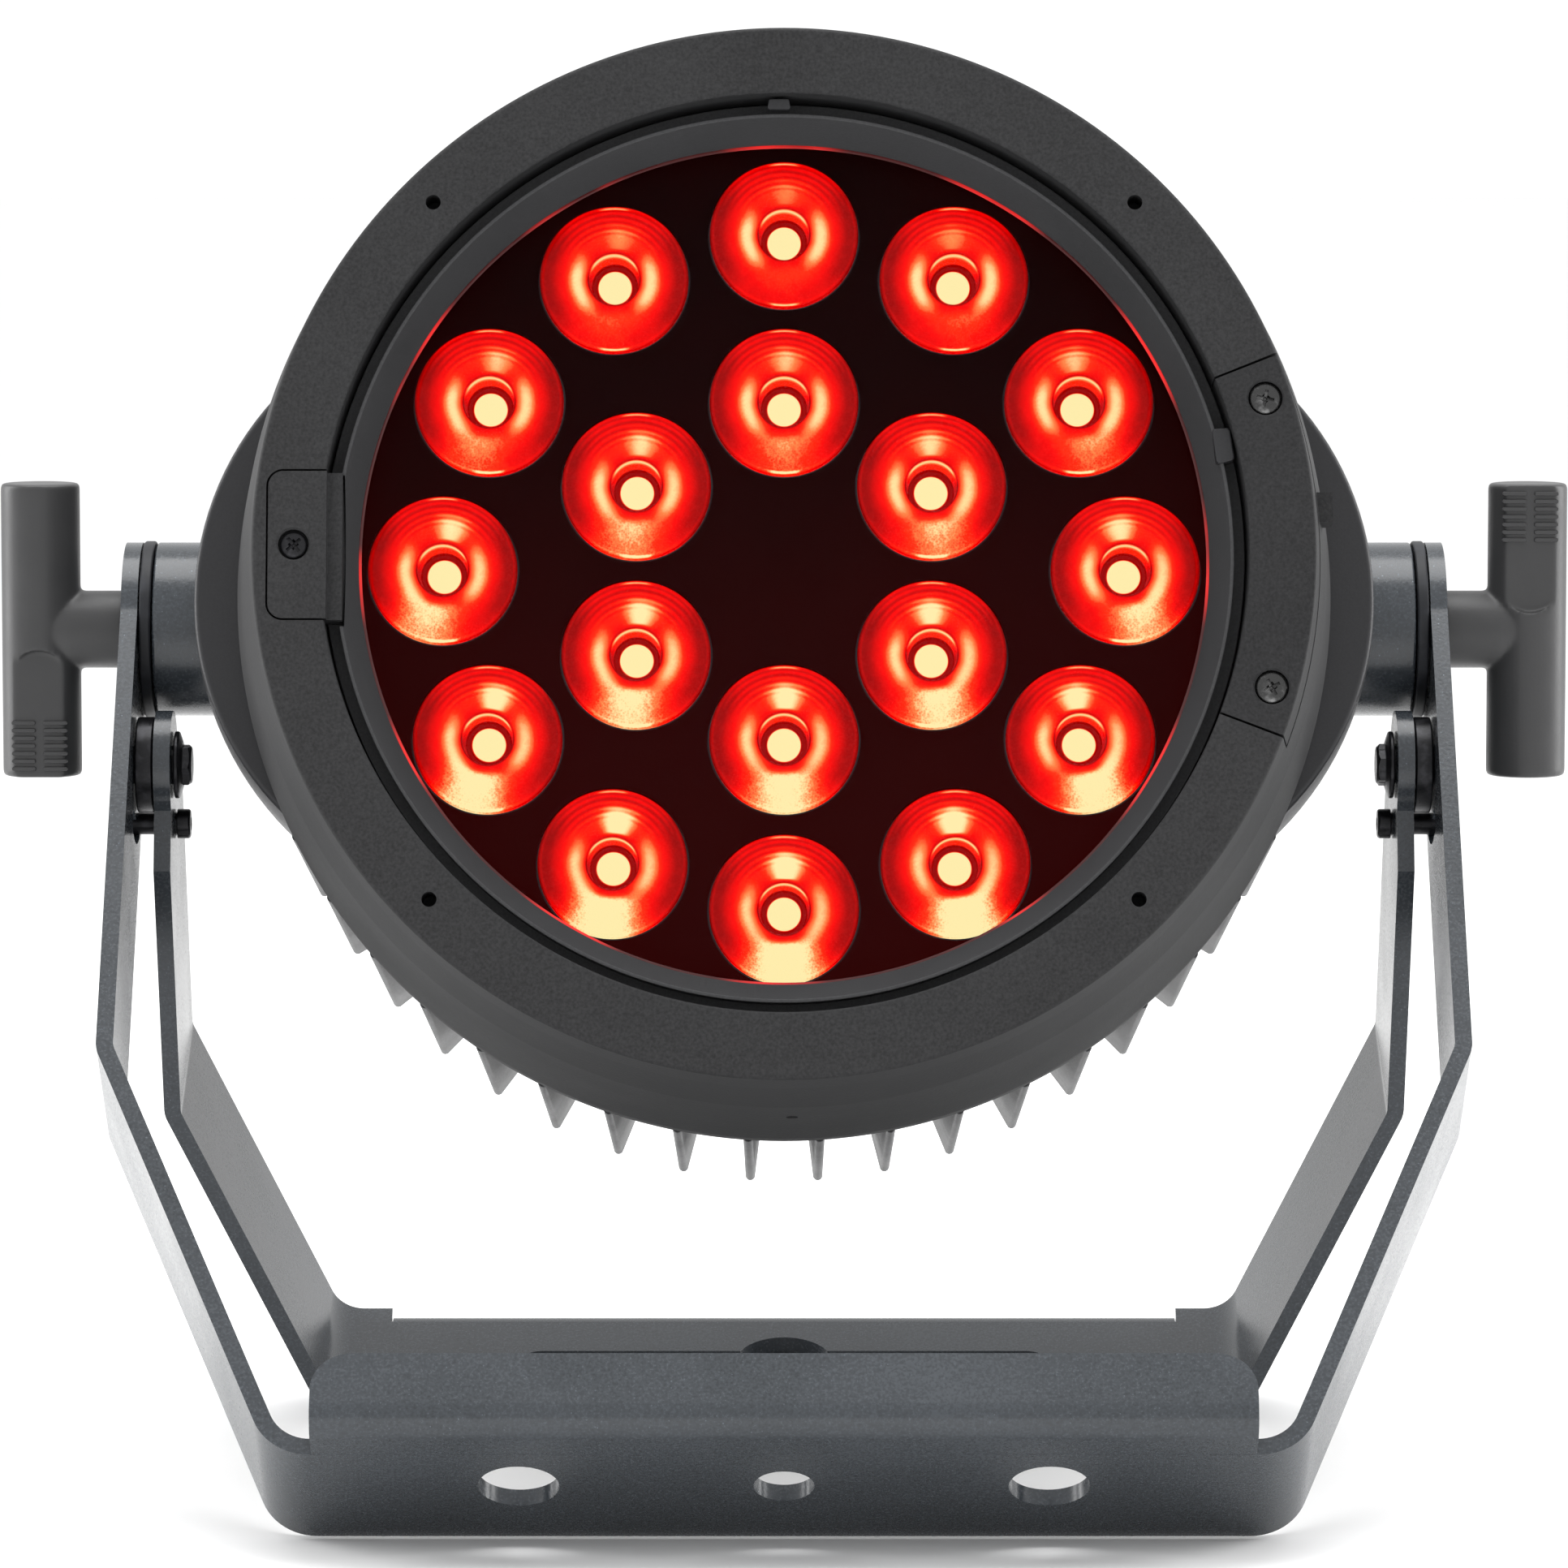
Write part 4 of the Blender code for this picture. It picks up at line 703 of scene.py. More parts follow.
def lathe(profile: Outline, steps: int, ring: bool = False, start: float = 0.0,
          sweep: float = 360.0) -> Mesh:
    """Turn a profile about Z.

    Args:
        profile: points of (radius, height).
        steps: facets round the turn.
        ring: the profile closes on itself.
        start: angle of the first facet, in degrees.
        sweep: how far the turn goes; under 360 both ends are closed.

    Returns:
        The turned mesh.
    """
    whole = sweep >= 360.0
    count = steps if whole else steps + 1
    angles = [math.radians(start + sweep * i / steps) for i in range(count)]
    bm = bmesh.new()
    rows = []
    for radius, height in profile:
        if radius < ON_AXIS:
            rows.append([bm.verts.new((0, 0, height))] * count)
        else:
            rows.append([bm.verts.new((radius * math.cos(a), radius * math.sin(a), height))
                         for a in angles])
    pairs = list(zip(rows, rows[1:]))
    if ring:
        pairs.append((rows[-1], rows[0]))
    for lower, upper in pairs:
        for i in range(steps):
            j = (i + 1) % count
            corners = list(dict.fromkeys((lower[i], lower[j], upper[j], upper[i])))
            if len(corners) > 2:
                bm.faces.new(corners)
    if not whole:
        bm.faces.new([row[0] for row in rows])
        bm.faces.new([row[-1] for row in reversed(rows)])
    return to_mesh(bm, "turned")


def prism(outline: Outline, low: float, high: float) -> Mesh:
    """Return a flat outline carried along Z between two heights."""
    bm = bmesh.new()
    bottom = [bm.verts.new((x, y, low)) for x, y in outline]
    top = [bm.verts.new((x, y, high)) for x, y in outline]
    bm.faces.new(reversed(bottom))
    bm.faces.new(top)
    for i in range(len(outline)):
        j = (i + 1) % len(outline)
        bm.faces.new((bottom[i], bottom[j], top[j], top[i]))
    return to_mesh(bm, "prism")


def circle(centre: Point, radius: float, steps: int) -> Outline:
    """Return the points of a whole circle."""
    return arc(centre, radius, 0, 360 * (steps - 1) / steps, steps - 1)


def hexagon(radius: float, turn: float = 0.0) -> Outline:
    """Return a hexagon turned by an angle in degrees."""
    return [polar(radius, 60 * i + turn) for i in range(6)]


def plaque(low: Point, high: Point, corner: float, steps: int = 6) -> Outline:
    """Return a rectangle with rounded corners."""
    (left, bottom), (right, top) = low, high
    return fillet([(left, bottom, corner), (right, bottom, corner), (right, top, corner),
                   (left, top, corner)], steps)


def barrel(radius: float, low: float, high: float, steps: int = 48, place: Point = (0, 0)) -> Mesh:
    """Return a round bar along Z at a place in the plane."""
    return prism(circle(place, radius, steps), low, high)


def block(low: Sequence[float], high: Sequence[float]) -> Mesh:
    """Return a block between two corners."""
    return prism(plaque(low[:2], high[:2], 0), low[2], high[2])


def rod(radius: float, first: float, last: float, eased: Point, facets: int = 4, steps: int = 96) -> Mesh:
    """Return a turned bar with rounded ends.

    Args:
        radius: its radius.
        first: height of one end.
        last: height of the other end.
        eased: radius of the rounding at each of them.
        facets: facets of the rounding.
        steps: facets round the bar.

    Returns:
        The bar.
    """
    profile = [(0, first, 0), (radius, first, eased[0]), (radius, last, eased[1]), (0, last, 0)]
    return lathe(fillet(profile, facets), steps)


def washer(radius: float, low: float, high: float, eased: float, steps: int) -> Mesh:
    """Return a turned washer that lets a bolt through.

    Args:
        radius: its radius.
        low: height of its lower face.
        high: height of its upper face.
        eased: radius of the rounding of its outer edges.
        steps: facets round the washer.

    Returns:
        The washer.
    """
    profile = [(BOLT_HOLE, low, 0), (radius, low, eased), (radius, high, eased), (BOLT_HOLE, high, 0)]
    return lathe(fillet(profile, 4), steps, ring=True)


def moved(mesh: Mesh, matrix: Matrix) -> Mesh:
    """Transform a mesh in place and return it."""
    mesh.transform(matrix)
    return mesh


def weigh_normals(mesh: Mesh, crease: float = 40.0) -> None:
    """Set the shading so that large faces stay flat and small ones round between them.

    Args:
        mesh: the mesh.
        crease: edges sharper than this stay sharp, in degrees.
    """
    limit = math.cos(math.radians(crease))
    faces = [(polygon.normal.copy(), polygon.area, len(polygon.vertices) > 4)
             for polygon in mesh.polygons]
    around: list[list[int]] = [[] for _ in mesh.vertices]
    for polygon in mesh.polygons:
        for corner in polygon.vertices:
            around[corner].append(polygon.index)
    normals = []
    for polygon in mesh.polygons:
        normal, _, broad = faces[polygon.index]
        for corner in polygon.vertices:
            total = normal.copy()
            if not broad:
                total = Vector((0, 0, 0))
                for other in around[corner]:
                    if normal.dot(faces[other][0]) > limit:
                        total += faces[other][0] * faces[other][1]
            normals.append(total.normalized() if total.length_squared > 0 else normal)
    mesh.normals_split_custom_set(normals)


def gather(meshes: Iterable[Mesh]) -> Mesh:
    """Put several meshes into one without joining their solids."""
    bm = bmesh.new()
    for mesh in meshes:
        bm.from_mesh(mesh)
    result = bpy.data.meshes.new("gathered")
    bm.to_mesh(result)
    bm.free()
    result.shade_smooth()
    return result


def shift(x: float, y: float, z: float) -> Matrix:
    """Return a move by three distances."""
    return Matrix.Translation((x, y, z))


def turned(angle: float, axis: str) -> Matrix:
    """Return a turn about an axis, by an angle in degrees."""
    return Matrix.Rotation(math.radians(angle), 4, axis)


def across(side: Side) -> Matrix:
    """Return the rotation that lays Z along +X on the right and -X on the left."""
    return turned(90 * side.value, "Y")


FROM_SIDE = Matrix(((0, 0, -1, 0), (-1, 0, 0, 0), (0, 1, 0, 0), (0, 0, 0, 1)))
UPRIGHT = turned(90, "X")


class Workpiece:
    """A solid on the bench, in millimetres, with the work still to be done on it."""

    def __init__(self, mesh: Mesh) -> None:
        self.body = self._lay(mesh)
        self.tools: list[bpy.types.Object] = []

    @staticmethod
    def _lay(mesh: Mesh) -> bpy.types.Object:
        """Lay a mesh on the bench as an object."""
        piece = bpy.data.objects.new("bench", mesh)
        bpy.context.scene.collection.objects.link(piece)
        return piece

    def _combine(self, tools: Iterable[Mesh], operation: str) -> "Workpiece":
        """Add a boolean for each tool."""
        for tool in tools:
            holder = self._lay(tool)
            self.tools.append(holder)
            modifier = self.body.modifiers.new("boolean", "BOOLEAN")
            modifier.operation = operation
            modifier.solver = "EXACT"
            modifier.object = holder
        return self

    def cut(self, *tools: Mesh) -> "Workpiece":
        """Cut each tool from the solid."""
        return self._combine(tools, "DIFFERENCE")

    def join(self, *tools: Mesh) -> "Workpiece":
        """Join each tool to the solid."""
        return self._combine(tools, "UNION")

    def keep(self, tool: Mesh) -> "Workpiece":
        """Keep only what lies inside the tool."""
        return self._combine((tool,), "INTERSECT")

    def soften(self, voxel: float, rounds: int) -> "Workpiece":
        """Flow the solid together, as a moulding is.

        Args:
            voxel: grid of the new surface, in millimetres.
            rounds: how often it is smoothed.

        Returns:
            The workpiece.
        """
        remesh = self.body.modifiers.new("remesh", "REMESH")
        remesh.mode = "VOXEL"
        remesh.voxel_size = voxel
        smooth = self.body.modifiers.new("smooth", "SMOOTH")
        smooth.factor = 0.5
        smooth.iterations = rounds
        return self

    def ease(self, width: float, segments: int = 2, angle: float = 38.0) -> "Workpiece":
        """Round the edges.

        Args:
            width: width of the rounding.
            segments: its facets.
            angle: edges sharper than this are rounded, in degrees.

        Returns:
            The workpiece.
        """
        bevel = self.body.modifiers.new("ease", "BEVEL")
        bevel.width = width
        bevel.segments = segments
        bevel.limit_method = "ANGLE"
        bevel.angle_limit = math.radians(angle)
        bevel.miter_outer = "MITER_ARC"
        return self

    def mesh(self) -> Mesh:
        """Do the work and take the finished mesh off the bench."""
        bpy.context.view_layer.update()
        depsgraph = bpy.context.evaluated_depsgraph_get()
        finished = self.body.evaluated_get(depsgraph)
        result = bpy.data.meshes.new_from_object(finished, depsgraph=depsgraph)
        for piece in (self.body, *self.tools):
            bpy.data.objects.remove(piece, do_unlink=True)
        return result


@dataclass(frozen=True)
class Group:
    """A moving group: its frame in the fixture, the body that carries it and its finishes."""

    place: Matrix
    body: str
    finishes: Finishes

    def riding(self, body: str) -> "Group":
        """Return the same frame carried by another body."""
        return replace(self, body=body)

    def fit(self, name: str, mesh: Mesh, slot: Slot, stands_for: str = "",
            at: Sequence[float] | None = None, finish: bpy.types.Material | None = None) -> bpy.types.Object:
        """Put a mesh in its place.

        Args:
            name: the piece's name.
            mesh: its mesh, in millimetres in the group's frame.
            slot: the record's slot for its finish.
            stands_for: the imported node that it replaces, if any.
            at: where the piece's own origin goes; with none it stays at the fixture's origin.
            finish: its material, where that isn't the slot's own.

        Returns:
            The piece.
        """
        if at is None:
            mesh.transform(self.place @ Matrix.Scale(MM, 4))
            where = Matrix.Identity(4)
        else:
            mesh.transform(Matrix.Scale(MM, 4))
            where = self.place @ Matrix.Translation(Vector(at) * MM)
        mesh.name = name
        weigh_normals(mesh)
        mesh.materials.clear()
        mesh.materials.append(finish or self.finishes[slot])
        piece = bpy.data.objects.new(name, mesh)
        bpy.context.scene.collection.objects.link(piece)
        piece.matrix_world = where
        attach(piece, self.body)
        if stands_for:
            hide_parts(stands_for)
        LOG.info("%s rides on %s, %d faces", name, self.body, len(mesh.polygons))
        return piece


@dataclass(frozen=True)
class Datum:
    """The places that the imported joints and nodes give."""

    pivot: Vector
    hinge: Vector
    beam: Vector
    stop: Vector
    finishes: Finishes

    @classmethod
    def read(cls, finishes: Finishes) -> "Datum":
        """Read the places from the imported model.

        Args:
            finishes: the finishes that the groups hand on.

        Returns:
            The places.
        """
        joints = {joint["name"]: joint for joint in frame["joints"]}
        low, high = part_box("stop_bolt_left")
        pivot = Vector(joints["head_tilt"]["pos_m"])
        hinge = Vector(joints["rear_yoke_fold"]["pos_m"])
        beam = Vector(joints["button_menu_press"]["axis"])
        stop = (low + high) / 2
        for place in (pivot, hinge, beam, stop):
            place.x = 0.0
        return cls(pivot, hinge, beam, stop, finishes)

    def _group(self, body: str, origin: Vector, along: Vector) -> Group:
        """Return a group with X across and Z along a direction.

        Args:
            body: the body that carries it.
            origin: its origin in the fixture.
            along: the direction.

        Returns:
            The group.
        """
        side, forward = Vector((1, 0, 0)), along.normalized()
        matrix = Matrix((side, forward.cross(side), forward)).transposed().to_4x4()
        matrix.translation = origin
        return Group(matrix, body, self.finishes)

    def head(self) -> Group:
        """Return the head's group."""
        return self._group("head", self.pivot, self.beam)

    def upright(self) -> Group:
        """Return the handles' group, with Z straight up."""
        return self._group("head", self.pivot, Vector((0, 0, 1)))

    def front(self) -> Group:
        """Return the front yoke's group."""
        return self._group("front_yoke", self.pivot, self.pivot - self.hinge)

    def rear(self) -> Group:
        """Return the rear yoke's group."""
        return self._group("rear_yoke", self.hinge, self.hinge - self.stop)


# ---------------------------------------------------------------------------------------------
# Screws
# ---------------------------------------------------------------------------------------------


@dataclass(frozen=True)
class CrossScrew:
    """A countersunk cross-head screw."""

    head_radius: float = 3.1
    head_high: float = 2.0
    shank_radius: float = 1.5
    length: float = 14.0
    turn: float = 20.0
    cross_long: float = 1.75
    cross_half: float = 0.32
    cross_deep: float = 1.2

    def mesh(self, top: float) -> Mesh:
        """Return the screw with its head's top at a height.

        Args:
            top: height of the head.

        Returns:
            The mesh.
        """
        radius = self.head_radius
        profile = [(0, top), (radius * 0.55, top), (radius * 0.86, top - 0.18), (radius, top - 0.5),
                   (radius, top - self.head_high), (self.shank_radius, top - self.head_high),
                   (self.shank_radius, top - self.length), (0, top - self.length)]
        work = Workpiece(lathe(profile, 40))
        for quarter in (0.0, 90.0):
            arm = block((-self.cross_long, -self.cross_half, top - self.cross_deep),
                        (self.cross_long, self.cross_half, top + 1))
            work.cut(moved(arm, turned(self.turn + quarter, "Z")))
        work.cut(lathe([(0, top + 0.2), (1.25, top + 0.2), (0.35, top - 1.5), (0, top - 1.5)], 4))
        return work.ease(0.09, 1).mesh()


# ---------------------------------------------------------------------------------------------
# Head
# ---------------------------------------------------------------------------------------------


@dataclass
class BezelRing:
    """The cast front ring with its let-in segment, hatch and screws."""

    group: Group
    face_z: float = 105.0
    face_radius: float = 105.25
    hole_radius: float = 91.9
    skirt_radius: float = 112.0
    rear_z: float = 42.0
    wall: float = 5.0
    shelf_radius: float = 86.5
    shelf_z: Point = (77.6, 81.5)
    segment_angles: Point = (-21.0, 22.0)
    segment_depth: float = 11.0
    screw_circle: float = 100.05
    screw_angles: Point = (-16.0, 17.6)
    hatch_x: float = -102.0
    hatch_y: Point = (-13.9, 15.6)
    hatch_thick: float = 3.0
    hatch_corner: float = 3.0
    hatch_screw: Point = (-96.95, 0.9)
    hatch_head: float = 2.75
    segment_head: float = 3.1
    tongue_x: float = -87.4
    tongue_z: float = 96.5
    hole_circle: float = 98.6
    accessory_radius: float = 1.5
    hole_deep: float = 8.0
    drain_radius: float = 1.25
    drain: Point = (1.6, 71.0)
    lug_y: Point = (7.5, 13.5)
    lug_back: Point = (20.0, 13.0)
    lug_out: float = 4.2
    gap: float = 0.38
    steps: int = 240

    def _casting(self) -> Mesh:
        """Return the ring with its pocket, holes, drain and lug."""
        corners = [(self.hole_radius, self.face_z, 0.55), (self.face_radius, self.face_z, 1.0),
                   (self.face_radius + 1.0, self.face_z - 8.0, 6.0),
                   (self.face_radius + 3.4, self.face_z - 24.0, 9.0),
                   (self.skirt_radius, self.rear_z + 5.7, 2.5), (self.skirt_radius, self.rear_z, 0.5),
                   (self.skirt_radius - self.wall, self.rear_z, 0.5),
                   (self.skirt_radius - self.wall, self.shelf_z[0], 0),
                   (self.shelf_radius, self.shelf_z[0], 0.3), (self.shelf_radius, self.shelf_z[1], 0.3),
                   (self.hole_radius, self.shelf_z[1], 0)]
        work = Workpiece(lathe(fillet(corners, 5), self.steps, ring=True))
        start, end = self.segment_angles
        outer, inner, above = self.face_radius + 4, self.hole_radius - 1, self.face_z + 1
        seat = arc((0, 0), outer, start, end, 60) + arc((0, 0), inner, end, start, 60)
        work.cut(prism(seat, self.face_z - self.segment_depth - self.gap, above))
        work.cut(prism(self._hatch_outline(self.gap, self.tongue_x),
                       self.face_z - self.hatch_thick - self.gap, above))
        for index in range(4):
            place = polar(self.hole_circle, 45 + 90 * index)
            work.cut(barrel(self.accessory_radius, self.face_z - self.hole_deep, above, 32, place))
        drain = barrel(self.drain_radius, -self.skirt_radius - 1, -self.skirt_radius + 7, 32)
        work.cut(moved(drain, shift(self.drain[0], 0, self.drain[1]) @ turned(-90, "X")))
        work.join(block((self.face_radius - 1, self.lug_y[0], self.face_z - self.lug_back[0]),
                        (self.face_radius + self.lug_out, self.lug_y[1], self.face_z - self.lug_back[1])))
        return work.ease(0.22, 2, 50).mesh()

    def _hatch_outline(self, grow: float, inner_x: float) -> Outline:
        """Return the hatch's outline, grown by a clearance."""
        low, high = self.hatch_y[0] - grow, self.hatch_y[1] + grow
        corner = self.hatch_corner + grow
        return fillet([(self.hatch_x - grow, low, corner), (inner_x, low, 0), (inner_x, high, 0),
                       (self.hatch_x - grow, high, corner)], 10)

    def _sink(self, place: Point, radius: float) -> Mesh:
        """Return the cutter of a countersunk screw hole at a place in the face."""
        top = self.face_z
        room, seat, shank, deep = radius + 0.3, top - 2.3, 1.75, top - 15
        profile = [(0, top + 1), (radius + 0.65, top + 1), (radius + 0.65, top), (room, top - 0.4),
                   (room, seat), (shank, seat), (shank, deep), (0, deep)]
        return moved(lathe(profile, 48), shift(*place, 0))

    def _segment(self) -> Mesh:
        """Return the let-in segment."""
        step = math.degrees(self.gap * 1.3 / self.face_radius)
        start, end = self.segment_angles
        back = self.face_z - self.segment_depth
        corners = [(self.hole_radius, self.face_z, 0.5), (self.face_radius, self.face_z, 0.8),
                   (self.face_radius + 0.9, self.face_z - 7.5, 3.0), (self.face_radius + 1.35, back, 0.3),
                   (self.hole_radius, back, 0.3)]
        work = Workpiece(lathe(fillet(corners, 5), 64, True, start + step, end - start - 2 * step))
        for angle in self.screw_angles:
            work.cut(self._sink(polar(self.screw_circle, angle), self.segment_head))
        return work.ease(0.2, 2, 50).mesh()

    def _hatch(self) -> Mesh:
        """Return the hatch plate with its stepped tongue into the recess."""
        work = Workpiece(prism(self._hatch_outline(0, -self.hole_radius + 1.5),
                               self.face_z - self.hatch_thick, self.face_z))
        work.join(block((-self.hole_radius + 0.3, self.hatch_y[0], self.tongue_z),
                        (self.tongue_x, self.hatch_y[1], self.face_z - self.hatch_thick + 0.5)))
        work.cut(self._sink(self.hatch_screw, self.hatch_head))
        return work.ease(0.35, 3, 50).mesh()

    def make(self) -> None:
        """Make and place the ring and its fittings."""
        fit, top = self.group.fit, self.face_z
        fit("bezel_casting", self._casting(), Slot.CAST, "front_bezel")
        fit("bezel_segment", self._segment(), Slot.CAST, "bezel_segment_right",
            finish=self.group.finishes.segment)
        fit("bezel_hatch", self._hatch(), Slot.CAST, "bezel_hatch_left")
        for word, angle, turn in zip(("lower", "upper"), self.screw_angles, (28.0, -12.0)):
            place = (*polar(self.screw_circle, angle), 0)
            fit(f"segment_cross_screw_{word}", CrossScrew(self.segment_head, turn=turn).mesh(top - 0.35),
                Slot.SCREW, f"segment_screw_{word}", at=place)
        fit("hatch_cross_screw", CrossScrew(self.hatch_head - 0.1, turn=40.0).mesh(top - 0.5), Slot.SCREW,
            "hatch_screw", at=(*self.hatch_screw, 0), finish=self.group.finishes[Slot.BLACK_STEEL])


@dataclass
class FrontGlass:
    """The front glass, its conical retaining ring and the lit edge of the aperture."""

    group: Group
    glass_radius: float = 91.6
    glass_z: Point = (83.6, 87.6)
    edge_radius: float = 89.4
    aperture_radius: float = 84.9
    ring_z: Point = (87.9, 101.8)
    foot: float = 1.2
    groove_deep: float = 6.5
    sag: float = 0.8
    lit_edge: float = 0.55
    steps: int = 240
    notch_y: Point = (-14.3, 16.0)
    notch_x: float = -87.0
    tab_x: float = -1.0
    latch_angle: float = 13.8

    def make(self) -> None:
        """Make and place the glass and its ring."""
        low, high = self.ring_z
        groove, floor = self.edge_radius - 0.3, high - self.groove_deep
        corners = [(groove - 0.7, high, 0.25), (groove, high, 0.2), (groove, floor, 0.2),
                   (self.glass_radius, floor, 0.3), (self.glass_radius, low, 0.3),
                   (self.aperture_radius, low, 0.25), (self.aperture_radius, low + self.foot, 0.35)]
        work = Workpiece(lathe(fillet(corners, 4), self.steps, ring=True))
        work.cut(block((-120, self.notch_y[0], 96.0), (self.notch_x, self.notch_y[1], 110)))
        ring = work.ease(0.2, 2, 50).mesh()
        for vertex in ring.vertices:
            if vertex.co.xy.length < groove + 0.2:
                vertex.co.y -= self.sag * max(vertex.co.z - low - self.foot, 0.0) / (high - low)
        finishes, inner, top = self.group.finishes, self.aperture_radius, self.glass_z[1]
        self.group.fit("retaining_ring", ring, Slot.CAST, "glass_retainer", finish=finishes.ring)
        self.group.fit("clear_front_glass", rod(self.glass_radius, *self.glass_z, (0.5, 0.5), 3, self.steps),
                       Slot.GLASS, "front_glass")
        # A thin ring just inside the aperture's edge carries the painted glint of the lenses' red light.
        lit, hidden, under, over = inner - self.lit_edge, inner + 0.95, low - 0.05, top + 0.03
        edge = [(lit, under, 0.05), (hidden, under, 0), (hidden, over, 0), (lit, over, 0.05)]
        self.group.fit("aperture_edge", lathe(fillet(edge, 3), self.steps, ring=True), Slot.SHROUD,
                       at=(0, 0, 0), finish=finishes.rim_glow)
        tab = prism(fillet([(-2.4, -1.1, 0.5), (2.4, -1.1, 0.5), (2.0, 1.1, 0.5), (-2.0, 1.1, 0.5)], 4),
                    high - 1.4, high + 0.7)
        latch = prism(fillet([(-2.2, -3.6, 0.8), (1.6, -3.6, 0.8), (2.2, 3.0, 0.8), (-1.4, 3.6, 0.8)], 5),
                      high - 3.2, high + 0.5)
        at_latch = turned(self.latch_angle, "Z") @ shift(self.edge_radius + 0.2, 0, 0)
        for name, lump, place in (
                ("ring_tab", Workpiece(tab).ease(0.25), shift(self.tab_x, self.edge_radius + 0.8, 0)),
                ("ring_latch", Workpiece(latch).ease(0.4, 3), at_latch)):
            self.group.fit(name, moved(lump.mesh(), place), Slot.CAST, finish=finishes.smooth_cast)


@dataclass
class Optics:
    """The shroud plate and the lenses."""

    group: Group
    plate_radius: float = 104.0
    plate_z: Point = (73.9, 77.3)
    plate_wall: float = 3.0
    lens_gap: float = 0.4
    back_z: float = 60.3
    lens_radius: float = 15.0
    front_z: float = 78.5
    back_of_lens_z: float = 60.0
    outer_circle: float = 68.6
    outer_count: int = 12
    inner_count: int = 6
    lean: float = 0.28

    def places(self) -> Outline:
        """Return the lens centres, outer circle first."""
        circles = ((self.outer_circle, self.outer_count), (self.outer_circle / 2, self.inner_count))
        return [polar(radius, 90 - 360 / count * i) for radius, count in circles for i in range(count)]

    def _plate(self) -> Mesh:
        """Return the shroud plate, with its turned-back outer rim and a round hole for each lens."""
        low, top = self.plate_z
        outside, inside = self.plate_radius, self.plate_radius - self.plate_wall
        corners = [(0, top), (outside - 0.6, top), (outside, top - 0.6), (outside, self.back_z),
                   (inside, self.back_z), (inside, low), (0, low)]
        work = Workpiece(lathe(corners, 160))
        for place in self.places():
            work.cut(barrel(self.lens_radius + self.lens_gap, low - 1, top + 1, 64, place))
        return work.ease(0.3, 2, 50).mesh()

    def _lens(self) -> Mesh:
        """Return one optic with its front face at height 0."""
        radius = self.lens_radius
        depth = self.front_z - self.back_of_lens_z
        bowl = [(0, -8.9), (1.2, -8.93), (2.2, -9.02), (3.35, -9.25), (3.8, -9.5), (4.4, -9.35),
                (4.65, -8.9), (5.15, -0.45), (5.25, -0.15), (5.5, 0.0)]
        face = [(r, 0.0) for r in (6.2, 7.0, 8.0, 9.2, 10.4, 11.6, 12.8, 13.9)]
        outside = [(14.25, 0.0), (14.4, -0.12), (14.75, -0.12), (radius, -0.4), (radius, -2.2),
                   (14.1, -4.4), (12.2, -9.0), (9.0, -14.0), (5.5, -depth), (0, -depth)]
        return lathe(bowl + face + outside, 96)

    def make(self) -> None:
        """Make and place the plate and the lenses."""
        self.group.fit("shroud_plate", self._plate(), Slot.SHROUD, "lens_plate", at=(0, 0, 0))
        for index, (x, y) in enumerate(self.places(), 1):
            mesh = self._lens()
            across_share, up_share = x / self.outer_circle, y / self.outer_circle
            for name, value in (("low", 0.5 - up_share / 2), ("lean", across_share * self.lean)):
                layer = mesh.attributes.new(name, "FLOAT", "POINT")
                layer.data.foreach_set("value", [value] * len(mesh.vertices))
            optic = self.group.fit(f"optic_{index:02d}", mesh, Slot.LENS, f"lens_{index:02d}",
                                   at=(x, y, self.front_z))
            optic.visible_diffuse = optic.visible_glossy = False


